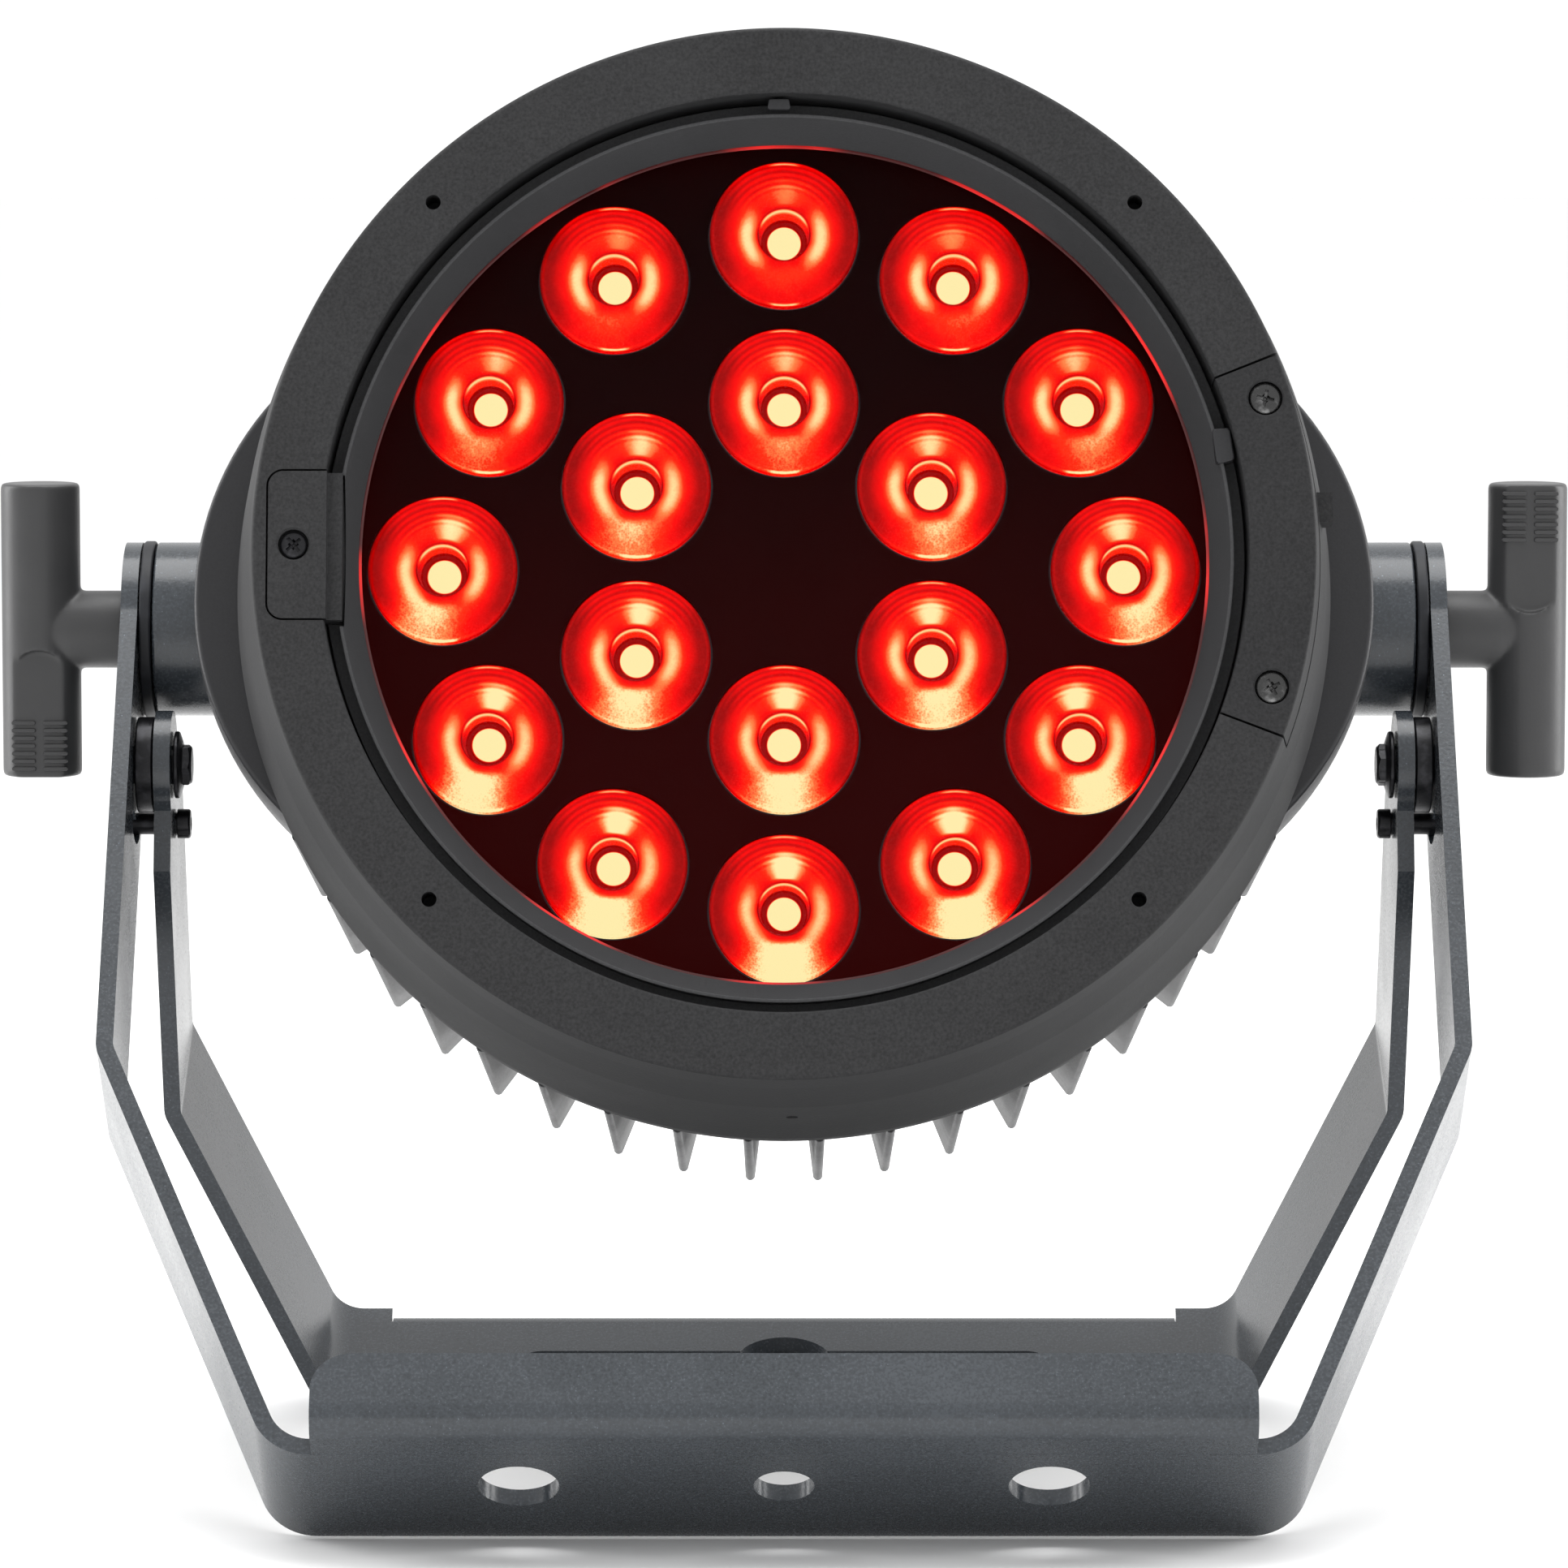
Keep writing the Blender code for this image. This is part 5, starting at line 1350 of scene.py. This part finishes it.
@dataclass
class Drum:
    """The finned housing with its side pods and trunnion bosses."""

    group: Group
    root_radius: float = 93.0
    tip_radius: float = 112.3
    fin_count: int = 48
    root_half: float = 2.0
    root_fillet: float = 1.1
    tip_half: float = 1.0
    free_angle: float = 22.0
    z: Point = (-56.0, 41.7)
    flange_radius: float = 106.7
    flange_z: Point = (37.7, 60.0)
    pod_centre: Point = (58.7, 22.0)
    pod_radii: tuple[float, float, float] = (63.5, 63.5, 115.0)
    boss_radius: float = 18.3
    boss_end: float = 132.0

    def _fins(self) -> Outline:
        """Return the drum's section with its tapered, round-tipped fins."""
        points: Outline = []
        pitch = 360 / self.fin_count
        root, tip, half = self.root_radius, self.tip_radius, self.tip_half
        flank = [(root, self.root_half + self.root_fillet), (root + self.root_fillet, self.root_half),
                 (tip - 0.7, half), (tip - 0.2, half - 0.35), (tip, half - 0.8)]
        for index in range(self.fin_count):
            middle = (index + 0.5) * pitch - 90
            spoke = Vector(polar(1.0, middle))
            side = Vector((-spoke.y, spoke.x))
            if abs(spoke.x) > math.cos(math.radians(self.free_angle)):
                points += [polar(self.root_radius, middle + pitch * share) for share in (-0.3, 0.3)]
                continue
            for radius, offset in [(radius, -offset) for radius, offset in flank] + flank[::-1]:
                points.append(tuple(spoke * radius + side * offset))
        return points

    def _pod(self, side: Side) -> Mesh:
        """Return one side pod with its cut ends eased."""
        bm = bmesh.new()
        centre = Vector((side.value * self.pod_centre[0], 0, self.pod_centre[1]))
        bmesh.ops.create_uvsphere(bm, u_segments=128, v_segments=96, radius=1.0,
                                  matrix=Matrix.Translation(centre) @ Matrix.Diagonal((*self.pod_radii, 1.0)))
        work = Workpiece(to_mesh(bm, "pod"))
        work.keep(block((-200, -100, self.z[0]), (200, 100, self.z[1])))
        return work.ease(1.2, 3).mesh()

    def make(self) -> None:
        """Make and place the housing."""
        shells = [Workpiece(prism(self._fins(), *self.z)).ease(0.5, 2, 60).mesh()]
        shells.append(rod(self.flange_radius, *self.flange_z, (1.2, 0.5), steps=240))
        for side in Side:
            shells.append(self._pod(side))
            boss = rod(self.boss_radius, self.root_radius, self.boss_end, (0, 0.6))
            self.group.fit(f"trunnion_boss_{side.word}", moved(boss, across(side)), Slot.YOKE)
        self.group.fit("finned_housing", gather(shells), Slot.CAST, "main_housing",
                       finish=self.group.finishes.smooth_cast)


@dataclass
class RearPanel:
    """The rear cover with its window, buttons, sockets, vent and safety loop."""

    group: Group
    radius: float = 92.5
    front_z: float = -58.0
    back_z: float = -73.0
    rib: float = 14.0
    window: Point = (46.0, 24.0)
    window_y: float = 40.0
    window_corner: float = 2.0
    button_radius: float = 4.5
    button_y: float = 17.0
    button_pitch: float = 17.0
    words: tuple[str, ...] = ("menu", "up", "down", "enter")
    sockets: dict[str, Point] = field(default_factory=lambda: {
        "power_inlet": (-52.0, -20.0), "data_inlet": (-21.0, -52.0), "data_outlet": (21.0, -52.0),
        "power_outlet": (52.0, -20.0)})
    socket_radius: float = 12.0
    flange_half: float = 13.2
    rivet: float = 10.6
    proud: float = 9.0
    vent_y: float = -16.0
    vent_radius: float = 7.0
    loop_y: float = 73.0
    loop_half: float = 9.0
    loop_high: float = 12.0
    loop_root: float = 7.0
    wire_radius: float = 2.5
    wire_steps: int = 20
    screw_circle: float = 84.0
    screw_count: int = 6

    def _cover(self) -> Mesh:
        """Return the cover with its openings, rib ring and screw seats."""
        back = self.back_z
        inside, rib, field_z = back + 3, self.radius - self.rib, back + 0.7
        corners = [(0, inside, 0), (self.radius - 4, inside, 3.0), (self.radius - 3, self.front_z, 0.3),
                   (self.radius, self.front_z, 0.6), (self.radius, back, 4.0), (rib, back, 0.5),
                   (rib - 0.8, field_z, 0.3), (0, field_z, 0)]
        work = Workpiece(lathe(fillet(corners, 6), 160))
        work.cut(prism(self._window_outline(1.0), back - 1, back + 2.0))
        for place in self._buttons():
            work.cut(barrel(self.button_radius + 0.35, back - 1, back + 5, 40, place))
        for place in self.sockets.values():
            work.cut(barrel(self.socket_radius + 0.3, back - 1, back + 5, 48, place))
        for place in self._screws():
            work.cut(barrel(3.5, back - 1, back + 1.9, 32, place))
        return work.ease(0.35, 2, 45).mesh()

    def _window_outline(self, grow: float) -> Outline:
        """Return the window's outline, grown by a margin."""
        half_x, half_y = self.window[0] / 2 + grow, self.window[1] / 2 + grow
        return plaque((-half_x, self.window_y - half_y), (half_x, self.window_y + half_y),
                      self.window_corner + grow / 2)

    def _buttons(self) -> Outline:
        """Return the buttons' places along their row."""
        middle = (len(self.words) - 1) / 2
        return [((index - middle) * self.button_pitch, self.button_y) for index in range(len(self.words))]

    def _screws(self) -> Outline:
        """Return the cover screws' places."""
        return [polar(self.screw_circle, 30 + 360 / self.screw_count * i) for i in range(self.screw_count)]

    def _socket(self) -> Mesh:
        """Return a panel socket: square-cornered flange, barrel, key ribs and an inner insert."""
        back, half, radius = self.back_z, self.flange_half, self.socket_radius
        flange = plaque((-half, -half), (half, half), 5.5, 8)
        mouth = back - self.proud
        floor, bore = mouth + 7.5, radius - 2.3
        body = fillet([(0, back + 8, 0), (radius, back + 8, 0.5), (radius, mouth, 0.8), (bore, mouth, 0.6),
                       (bore, floor, 0.4), (0, floor, 0)], 4)
        parts = [Workpiece(prism(flange, back - 2.8, back - 0.3)).ease(0.5, 3).mesh(), lathe(body, 96),
                 rod(5.2, mouth + 8, mouth + 1.6, (0, 0.7), steps=48)]
        for angle in (45, 135, 225, 315):
            rib = block((radius - 3.4, -0.9, mouth + 0.8), (radius - 2.0, 0.9, floor))
            parts.append(moved(rib, turned(angle, "Z")))
        head = [(0, back - 3.6), (1.2, back - 3.6), (1.9, back - 3.2), (1.9, back - 2.6), (0, back - 2.6)]
        for place in (-self.rivet, self.rivet):
            parts.append(moved(lathe(head, 24), shift(place, place, 0)))
        return gather(parts)

    def _button(self) -> Mesh:
        """Return a rubber button with a dished top."""
        radius, skirt, top = self.button_radius, self.back_z + 3.3, self.back_z - 2.0
        profile = fillet([(0, skirt + 2.2, 0), (radius + 1.5, skirt + 2.2, 0.3), (radius + 1.5, skirt, 0.3),
                          (radius, skirt, 0.2), (radius, top, 0.8), (radius - 1.6, top, 0.5),
                          (radius - 2.2, top + 0.4, 0.4), (0, top + 0.5, 0)], 4)
        return lathe(profile, 56)

    def _loop(self) -> Mesh:
        """Return the bent wire loop for the safety cable."""
        crown = self.back_z - self.loop_high
        path = [(-self.loop_half, self.back_z + self.loop_root)]
        path += arc((0, crown + self.loop_half), self.loop_half, 180, 360, 24)
        path += [(self.loop_half, self.back_z + self.loop_root)]
        count = self.wire_steps
        bm = bmesh.new()
        rows = []
        for index, (x, z) in enumerate(path):
            before, after = Vector(path[max(index - 1, 0)]), Vector(path[min(index + 1, len(path) - 1)])
            run = (after - before).normalized()
            normal = Vector((run.y, 0, -run.x))
            rows.append([bm.verts.new(Vector((x, self.loop_y, z)) + self.wire_radius
                                      * (normal * math.cos(a) + Vector((0, 1, 0)) * math.sin(a)))
                         for a in (math.tau * k / count for k in range(count))])
        for lower, upper in zip(rows, rows[1:]):
            for i in range(count):
                j = (i + 1) % count
                bm.faces.new((lower[i], lower[j], upper[j], upper[i]))
        bm.faces.new(rows[0])
        bm.faces.new(reversed(rows[-1]))
        return to_mesh(bm, "loop")

    def make(self) -> None:
        """Make and place the cover and what it carries."""
        fit, back = self.group.fit, self.back_z
        fit("rear_cap", self._cover(), Slot.CAST, "rear_cover")
        window = Workpiece(prism(self._window_outline(0), back, back + 1.7)).ease(0.3)
        fit("smoked_window", window.mesh(), Slot.SMOKE, "display_window")
        for word, place in zip(self.words, self._buttons()):
            button = moved(self._button(), shift(*place, 0))
            self.group.riding(f"button_{word}").fit(f"rubber_button_{word}", button, Slot.RUBBER,
                                                    f"button_{word}")
        for name, place in self.sockets.items():
            fit(f"{name}_socket", moved(self._socket(), shift(*place, 0)), Slot.SOCKET, name)
        root, seat, top, dish = back + 6, back - 0.3, back - 4.0, back - 3.2
        vent = fillet([(0, root, 0), (3.0, root, 0), (3.0, seat, 0), (self.vent_radius, seat, 0.3),
                       (self.vent_radius, top, 1.0), (2.4, top, 0.3), (2.0, dish, 0.3), (0, dish, 0)], 4)
        fit("pressure_vent", moved(lathe(vent, 12), shift(0, self.vent_y, 0)), Slot.BLACK_STEEL, "vent_plug")
        fit("safety_eye_loop", self._loop(), Slot.SCREW, "safety_loop")
        for index, place in enumerate(self._screws()):
            screw = CrossScrew(2.9, 1.6, length=8.0, turn=25.0 * index).mesh(-back - 0.4)
            fit(f"cover_screw_{index + 1}", moved(screw, turned(180, "X")), Slot.BLACK_STEEL,
                at=(*place, 0))


# ---------------------------------------------------------------------------------------------
# Trunnions, yokes and fold hinge
# ---------------------------------------------------------------------------------------------


@dataclass
class Trunnion:
    """A friction disc and a T-handle on one side."""

    side: Side
    head: Group
    upright: Group
    disc_radius: float = 18.6
    disc_x: Point = (132.3, 134.7)
    stem_radius: float = 8.15
    stem_x: float = 138.8
    bar_x: float = 156.7
    bar_radius: float = 8.3
    bar_half: float = 30.9
    pad_inner: float = 4.0
    pad_half: float = 6.4
    pad_depth: float = 1.8
    ridges: int = 7
    ridge_pitch: float = 1.62
    ridge_first: float = 1.9
    ridge_column: float = 3.35
    ridge_half: Point = (2.55, 0.42)

    def _handle(self) -> Mesh:
        """Return the moulded handle with its pad and ridges."""
        out, at_bar = self.side.value, self.side.value * self.bar_x
        bar = rod(self.bar_radius, self.bar_half, -self.bar_half, (0.9, 0.9), 5)
        work = Workpiece(moved(bar, shift(at_bar, 0, 0)))
        root = self.bar_x - self.bar_radius + 2.0
        stem = fillet([(0, self.stem_x, 0), (self.stem_radius, self.stem_x, 0.4), (self.stem_radius, root, 0),
                       (self.stem_radius - 1, self.bar_x, 0), (0, self.bar_x, 0)], 6)
        work.join(moved(lathe(stem, 96), across(self.side)))
        arch = [(self.pad_half, self.bar_half + 3), (-self.pad_half, self.bar_half + 3)]
        arch += arc((0, self.pad_inner + self.pad_half), self.pad_half, 180, 360, 24)
        on_bar = shift(at_bar, 0, 0) @ UPRIGHT
        depth = self.bar_radius - self.pad_depth
        work.cut(moved(prism([(x, out * y) for x, y in arch], depth, self.bar_radius + 2), on_bar))
        parts = [work.soften(0.42, 7).mesh()]
        long, thick = self.ridge_half
        for row in range(self.ridges):
            middle = out * (self.bar_half - self.ridge_first - self.ridge_pitch * row)
            for column in (-self.ridge_column, self.ridge_column):
                outline = plaque((column - long, middle - thick), (column + long, middle + thick), 0.4, 4)
                ridge = Workpiece(prism(outline, depth - 0.6, depth + 0.55)).ease(0.25, 2).mesh()
                parts.append(moved(ridge, on_bar))
        return gather(parts)

    def make(self) -> None:
        """Make and place both pieces."""
        word = self.side.word
        disc = moved(washer(self.disc_radius, *self.disc_x, 0.5, 96), across(self.side))
        self.head.fit(f"friction_pad_{word}", disc, Slot.PAD, f"friction_disc_{word}")
        self.upright.riding(f"{word}_handle").fit(f"moulded_handle_{word}", self._handle(), Slot.HANDLE,
                                                  f"t_handle_{word}")


@dataclass
class StripYoke:
    """What both yokes share: a strip bent into a U and shaped arms."""

    group: Group
    sheet: float = SHEET
    width: float = 34.0
    arm_x: float = FRONT_ARM_X
    hole_forward: float = 4.0
    bend: float = 113.7
    corner_x: float = 100.4
    reach: float = 206.2
    bend_radius: float = 8.0
    corner_radius: float = 12.0
    edge_ease: float = 0.55

    def _strip(self, top: float, half: float) -> Mesh:
        """Return the bent strip, wider and longer than the finished yoke."""
        outer = [(self.arm_x, top), (self.arm_x, -self.bend), (self.corner_x, -self.reach),
                 (-self.corner_x, -self.reach), (-self.arm_x, -self.bend), (-self.arm_x, top)]
        inner = offset_line(outer, -self.sheet)
        radii = [0, self.bend_radius, self.corner_radius, self.corner_radius, self.bend_radius, 0]
        corners = [(x, y, r) for (x, y), r in zip(outer, radii)]
        corners += [(x, y, max(r - self.sheet, 0)) for (x, y), r in reversed(list(zip(inner, radii)))]
        return moved(prism(fillet(corners, 12), -half, half), UPRIGHT)

    @staticmethod
    def _silhouette(eye_radius: float, edge: Outline) -> Outline:
        """Return an arm's side view: a round eye and one mirrored edge."""
        lean = math.degrees(math.acos(edge[0][0] / eye_radius))
        outline = arc((0, 0), eye_radius, -lean, 180 + lean, 48)
        return outline + [(-w, h) for w, h in edge[1:]] + [(w, h) for w, h in reversed(edge[1:])]

    @staticmethod
    def _sideways(outline: Outline, low_x: float, high_x: float) -> Mesh:
        """Return an outline in (forward, up) carried along X."""
        return moved(prism(outline, -high_x, -low_x), FROM_SIDE)

    def _through_arm(self, side: Side, outline: Outline) -> Mesh:
        """Return a cutter that goes through one arm."""
        ends = sorted((side.value * (self.arm_x - self.sheet - 1), side.value * (self.arm_x + 1)))
        return self._sideways(outline, *ends)

    def _arm_hole(self, side: Side, height: float, radius: float = BOLT_HOLE) -> Mesh:
        """Return the cutter of a round hole through one arm."""
        return self._through_arm(side, circle((0, height), radius, 36))

    def _through_plate(self, outline: Outline) -> Mesh:
        """Return a cutter that goes through the plate."""
        return prism(outline, -self.reach - 1, -self.reach + self.sheet + 1)


@dataclass
class FrontYoke(StripYoke):
    """The front yoke with its stiffening lip and three holes."""

    eye_radius: float = 18.3
    lip_out: float = 28.2
    lip_high: float = 16.3
    lip_half: float = 92.0
    lip_bend: float = 5.5
    lip_corner: float = 8.0
    stop_angle: float = 61.79
    holes: tuple[Point, ...] = ((0.0, 6.0), (-52.0, 8.0), (52.0, 8.0))

    def _lip(self) -> Mesh:
        """Return the stiffening lip with rounded top corners."""
        start, inner = self.width / 2 - 2.0, self.lip_out - self.sheet
        low, root, top = -self.reach + 0.05, -self.reach + self.sheet - 0.05, -self.reach + self.lip_high
        section = fillet([(start, low, 0), (self.lip_out, low, self.lip_bend), (self.lip_out, top, 0),
                          (inner, top, 0), (inner, root, self.lip_bend - self.sheet), (start, root, 0)], 10)
        work = Workpiece(self._sideways(section, -self.lip_half, self.lip_half))
        end, past, bottom = self.lip_half - self.lip_corner, self.lip_half + 1, top - self.lip_corner
        corner = [(past, top + 1), (end, top + 1)] + arc((end, bottom), self.lip_corner, 90, 0, 14)
        corner.append((past, bottom))
        for side in Side:
            tool = prism([(side.value * x, y) for x, y in corner], inner - 1, self.lip_out + 1)
            work.cut(moved(tool, UPRIGHT))
        return work.mesh()

    def _stop_slot(self) -> Outline:
        """Return the arc slot that the stop bolt runs in, about the fold hinge."""
        start = 270 - self.stop_angle
        outline = arc((0, 0), STOP_RADIUS + STOP_HOLE, start, 270, 20)
        outline += arc(polar(STOP_RADIUS, 270), STOP_HOLE, 270, 450, 12)[1:-1]
        outline += arc((0, 0), STOP_RADIUS - STOP_HOLE, 270, start, 20)
        outline += arc(polar(STOP_RADIUS, start), STOP_HOLE, start - 180, start, 12)[1:-1]
        return [(x, y - HINGE_DROP) for x, y in outline]

    def make(self) -> None:
        """Make and place the yoke."""
        half = self.width / 2
        work = Workpiece(self._strip(self.eye_radius + 1, self.eye_radius + 1))
        outline = self._silhouette(self.eye_radius, [(half, 0), (half, -self.reach - 1)])
        work.keep(self._sideways(outline, -self.arm_x - 1, self.arm_x + 1))
        work.join(self._lip())
        for side in Side:
            work.cut(self._arm_hole(side, 0), self._arm_hole(side, -HINGE_DROP))
            work.cut(self._through_arm(side, self._stop_slot()))
        for x, radius in self.holes:
            work.cut(self._through_plate(circle((x, -self.hole_forward), radius, 64)))
        self.group.fit("front_yoke_bracket", work.ease(self.edge_ease, 3, 35).mesh(), Slot.YOKE,
                       "front_yoke")


@dataclass
class RearYoke(StripYoke):
    """The rear yoke with its narrow eyes, turned-down lip and slotted plate."""

    width: float = 37.5
    arm_x: float = REAR_ARM_X
    bend: float = 74.0
    corner_x: float = 99.5
    reach: float = 149.4
    corner_radius: float = 11.0
    eye_radius: float = 11.3
    neck: float = 10.9
    shoulder: Point = (5.0, 15.0)
    lip_high: float = 12.5
    lip_half: float = 86.0
    lip_bend: float = 5.5
    slot_half: float = 58.0
    slot_radius: float = 5.4
    hub_radius: float = 10.9

    def make(self) -> None:
        """Make and place the yoke."""
        half, neck, inner_z = self.width / 2, self.neck, -self.reach + self.sheet
        work = Workpiece(self._strip(self.eye_radius + 1, half + 1))
        edge = [(neck, 0), (neck, -self.shoulder[0]), (half, -self.shoulder[1]), (half, -self.reach - 1)]
        work.keep(self._sideways(self._silhouette(self.eye_radius, edge), -self.arm_x - 1, self.arm_x + 1))
        work.cut(block((-self.lip_half, half - self.lip_bend, -self.reach - 1),
                       (self.lip_half, half + 1, inner_z + 1)))
        low, top, root = inner_z - self.lip_high, inner_z - 0.05, -self.reach + 0.05
        section = fillet([(6.0 - half, root, 0), (6.0 - half, top, 0), (-half, top, self.lip_bend),
                          (-half, low, 0), (self.sheet - half, low, 0),
                          (self.sheet - half, root, self.lip_bend - self.sheet)], 10)
        work.join(self._sideways(section, 0.3 - self.lip_half, self.lip_half - 0.3))
        for side in Side:
            work.cut(self._arm_hole(side, 0), self._arm_hole(side, -STOP_RADIUS, STOP_HOLE))
        end, forward = self.slot_half - self.slot_radius, -self.hole_forward
        slot = arc((end, forward), self.slot_radius, -90, 90, 24)
        slot += arc((-end, forward), self.slot_radius, 90, 270, 24)
        work.cut(self._through_plate(slot), self._through_plate(circle((0, forward), self.hub_radius, 64)))
        self.group.fit("rear_yoke_bracket", work.ease(self.edge_ease, 3, 35).mesh(), Slot.YOKE, "rear_yoke")


@dataclass
class FoldHinge:
    """The bolts, nuts and spacers that the rear yoke folds on."""

    front: Group
    rear: Group
    inner_x: float = REAR_ARM_X - SHEET - 0.3
    bolt_radius: float = 4.0
    bolt_socket: float = 2.3
    nut_flats: float = 7.9
    nut_high: float = 3.4
    stop_shank: float = 2.3
    stop_head: float = 3.1
    stop_socket: float = 1.5
    spacer_radius: float = 10.0

    def _nut(self, low: float) -> Mesh:
        """Return the hexagon of the hinge nut, with chamfered corners."""
        radius, high = self.nut_flats / 2 / math.cos(math.radians(30)), low + self.nut_high
        cone = lathe([(0, high + 1), (radius - 0.9, high + 1), (radius - 0.9, high),
                      (radius + 0.1, high - 0.55), (radius + 0.1, low - 1), (0, low - 1)], 48)
        return Workpiece(prism(hexagon(radius, 12.0), low, high)).keep(cone).ease(0.12, 1).mesh()

    def _bolt(self) -> Mesh:
        """Return the hinge bolt with its flanged nut; Z runs outward."""
        flange = self.inner_x
        collar = fillet([(0, flange, 0), (7.0, flange, 0.3), (7.0, flange - 1.0, 0.5),
                         (4.9, flange - 1.7, 0.4), (0, flange - 1.7, 0)], 4)
        bolt = Workpiece(rod(self.bolt_radius, FRONT_ARM_X, flange - 3.6, (0.4, 0.6), steps=56))
        bolt.cut(prism(hexagon(self.bolt_socket), FRONT_ARM_X - 2.2, FRONT_ARM_X + 1))
        nut = moved(self._nut(-flange), turned(180, "X"))
        return gather([bolt.ease(0.15).mesh(), lathe(collar, 64), nut])

    def _stop(self) -> Mesh:
        """Return the stop bolt with its small cap head; Z runs outward."""
        face, end = self.inner_x, FRONT_ARM_X
        profile = fillet([(0, end, 0), (self.stop_shank, end, 0.3), (self.stop_shank, face, 0),
                          (self.stop_head, face, 0.2), (self.stop_head, face - 2.8, 0.6),
                          (0, face - 2.8, 0)], 4)
        work = Workpiece(lathe(profile, 48))
        return work.cut(prism(hexagon(self.stop_socket), face - 4, face - 1.4)).ease(0.1, 1).mesh()

    def make(self) -> None:
        """Make and place the hardware on both sides."""
        for side in Side:
            spacer = washer(self.spacer_radius, FRONT_ARM_X - SHEET - 0.3, REAR_ARM_X + 0.3, 0.4, 72)
            for group, drop, mesh, name, node in (
                    (self.front, HINGE_DROP, self._bolt(), "fold_bolt", "hinge_bolt"),
                    (self.front, HINGE_DROP, spacer, "fold_spacer", "hinge_spacer"),
                    (self.rear, STOP_RADIUS, self._stop(), "fold_stop", "stop_bolt")):
                group.fit(f"{name}_{side.word}", moved(mesh, shift(0, 0, -drop) @ across(side)),
                          Slot.BLACK_STEEL, f"{node}_{side.word}")


# ---------------------------------------------------------------------------------------------
# Studio
# ---------------------------------------------------------------------------------------------


@dataclass
class Studio:
    """Floor, soft lights and camera."""

    pivot: Vector
    camera_back: float = 1.6174
    camera_rise: float = 0.1212
    camera_dip: float = 5.44
    lens: float = 176.4
    ambient: float = 1.1
    floor_half: float = 14.0
    floor_drop: float = 0.0004
    top_place: tuple[float, float, float] = (0, 0.05, 1.25)
    top_size: Point = (1.3, 0.9)
    top_power: float = 17.0
    side_place: tuple[float, float, float] = (1.25, 0.3, 0.2)
    side_size: Point = (0.5, 1.3)
    side_power: float = 14.0

    def _softbox(self, name: str, place: tuple[float, float, float], size: Point, power: float) -> None:
        """Hang a softbox that points at the pivot.

        Args:
            name: its name.
            place: where it hangs, in metres from the pivot.
            size: its width and height in metres.
            power: watts.
        """
        light = bpy.data.lights.new(name, "AREA")
        light.shape = "RECTANGLE"
        light.size, light.size_y = size
        light.energy = power
        holder = bpy.data.objects.new(name, light)
        bpy.context.scene.collection.objects.link(holder)
        holder.location = self.pivot + Vector(place)
        holder.rotation_euler = (-Vector(place)).to_track_quat("-Z", "Y").to_euler()

    def _floor(self) -> None:
        """Lay the pale floor."""
        bm = bmesh.new()
        bmesh.ops.create_grid(bm, x_segments=8, y_segments=8, size=self.floor_half)
        floor = bpy.data.objects.new("floor", to_mesh(bm, "floor"))
        floor.location.z = -self.floor_drop
        bpy.context.scene.collection.objects.link(floor)
        surface = Surface("pale_floor")
        tone = surface.noise(900.0, 2.0)
        base = surface.mix(tone, (0.90, 0.90, 0.90, 1.0), (0.93, 0.93, 0.93, 1.0))
        floor.data.materials.append(surface.dress(Base_Color=base, Roughness=tone * 0.1 + 0.8,
                                                  Specular_IOR_Level=0.1))

    def _world(self) -> None:
        """Fill the room with even white light."""
        world = bpy.data.worlds.new("studio")
        world.use_nodes = True
        background = world.node_tree.nodes["Background"]
        background.inputs[0].default_value = (1.0, 1.0, 1.0, 1.0)
        background.inputs[1].default_value = self.ambient
        bpy.context.scene.world = world

    def _camera(self) -> None:
        """Set up the camera."""
        camera = bpy.data.cameras.new("camera")
        camera.lens = self.lens
        camera.sensor_width = 36.0
        camera.clip_end = 100.0
        holder = bpy.data.objects.new("camera", camera)
        bpy.context.scene.collection.objects.link(holder)
        holder.location = self.pivot + Vector((0, -self.camera_back, self.camera_rise))
        holder.rotation_euler = (math.radians(90 - self.camera_dip), 0, 0)
        bpy.context.scene.camera = holder

    def make(self) -> None:
        """Set up the whole studio."""
        self._world()
        self._floor()
        self._softbox("top_softbox", self.top_place, self.top_size, self.top_power)
        away, back, up = self.side_place
        for side in Side:
            self._softbox(f"{side.word}_softbox", (away * side.value, back, up), self.side_size,
                          self.side_power)
        self._camera()
        bpy.context.scene.view_settings.view_transform = "Standard"


def dress_carried_over(finishes: Finishes) -> None:
    """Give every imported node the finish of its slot, shown or not.

    Args:
        finishes: the finishes.
    """
    slots = {part["node"]: part["material_slot"] for part in frame["record"]["subparts"]}
    by_name = {slot.value: slot for slot in Slot}
    for name, node in frame["nodes"].items():
        finish = finishes[by_name[slots[name]]]
        for slot in node.material_slots:
            slot.material = finish
        LOG.info("%s dressed as %s", name, finish.name)


def main() -> None:
    """Build every sub-assembly in order."""
    logging.basicConfig(level=logging.INFO, format="%(name)s: %(message)s")
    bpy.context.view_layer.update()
    finishes = Finishes()
    dress_carried_over(finishes)
    datum = Datum.read(finishes)
    head, upright = datum.head(), datum.upright()
    for assembly in (BezelRing(head), FrontGlass(head), Optics(head), Drum(head), RearPanel(head),
                     Trunnion(Side.LEFT, head, upright), Trunnion(Side.RIGHT, head, upright),
                     FrontYoke(datum.front()), RearYoke(datum.rear()),
                     FoldHinge(datum.front(), datum.rear()), Studio(datum.pivot)):
        assembly.make()


if __name__ == "__main__":
    main()
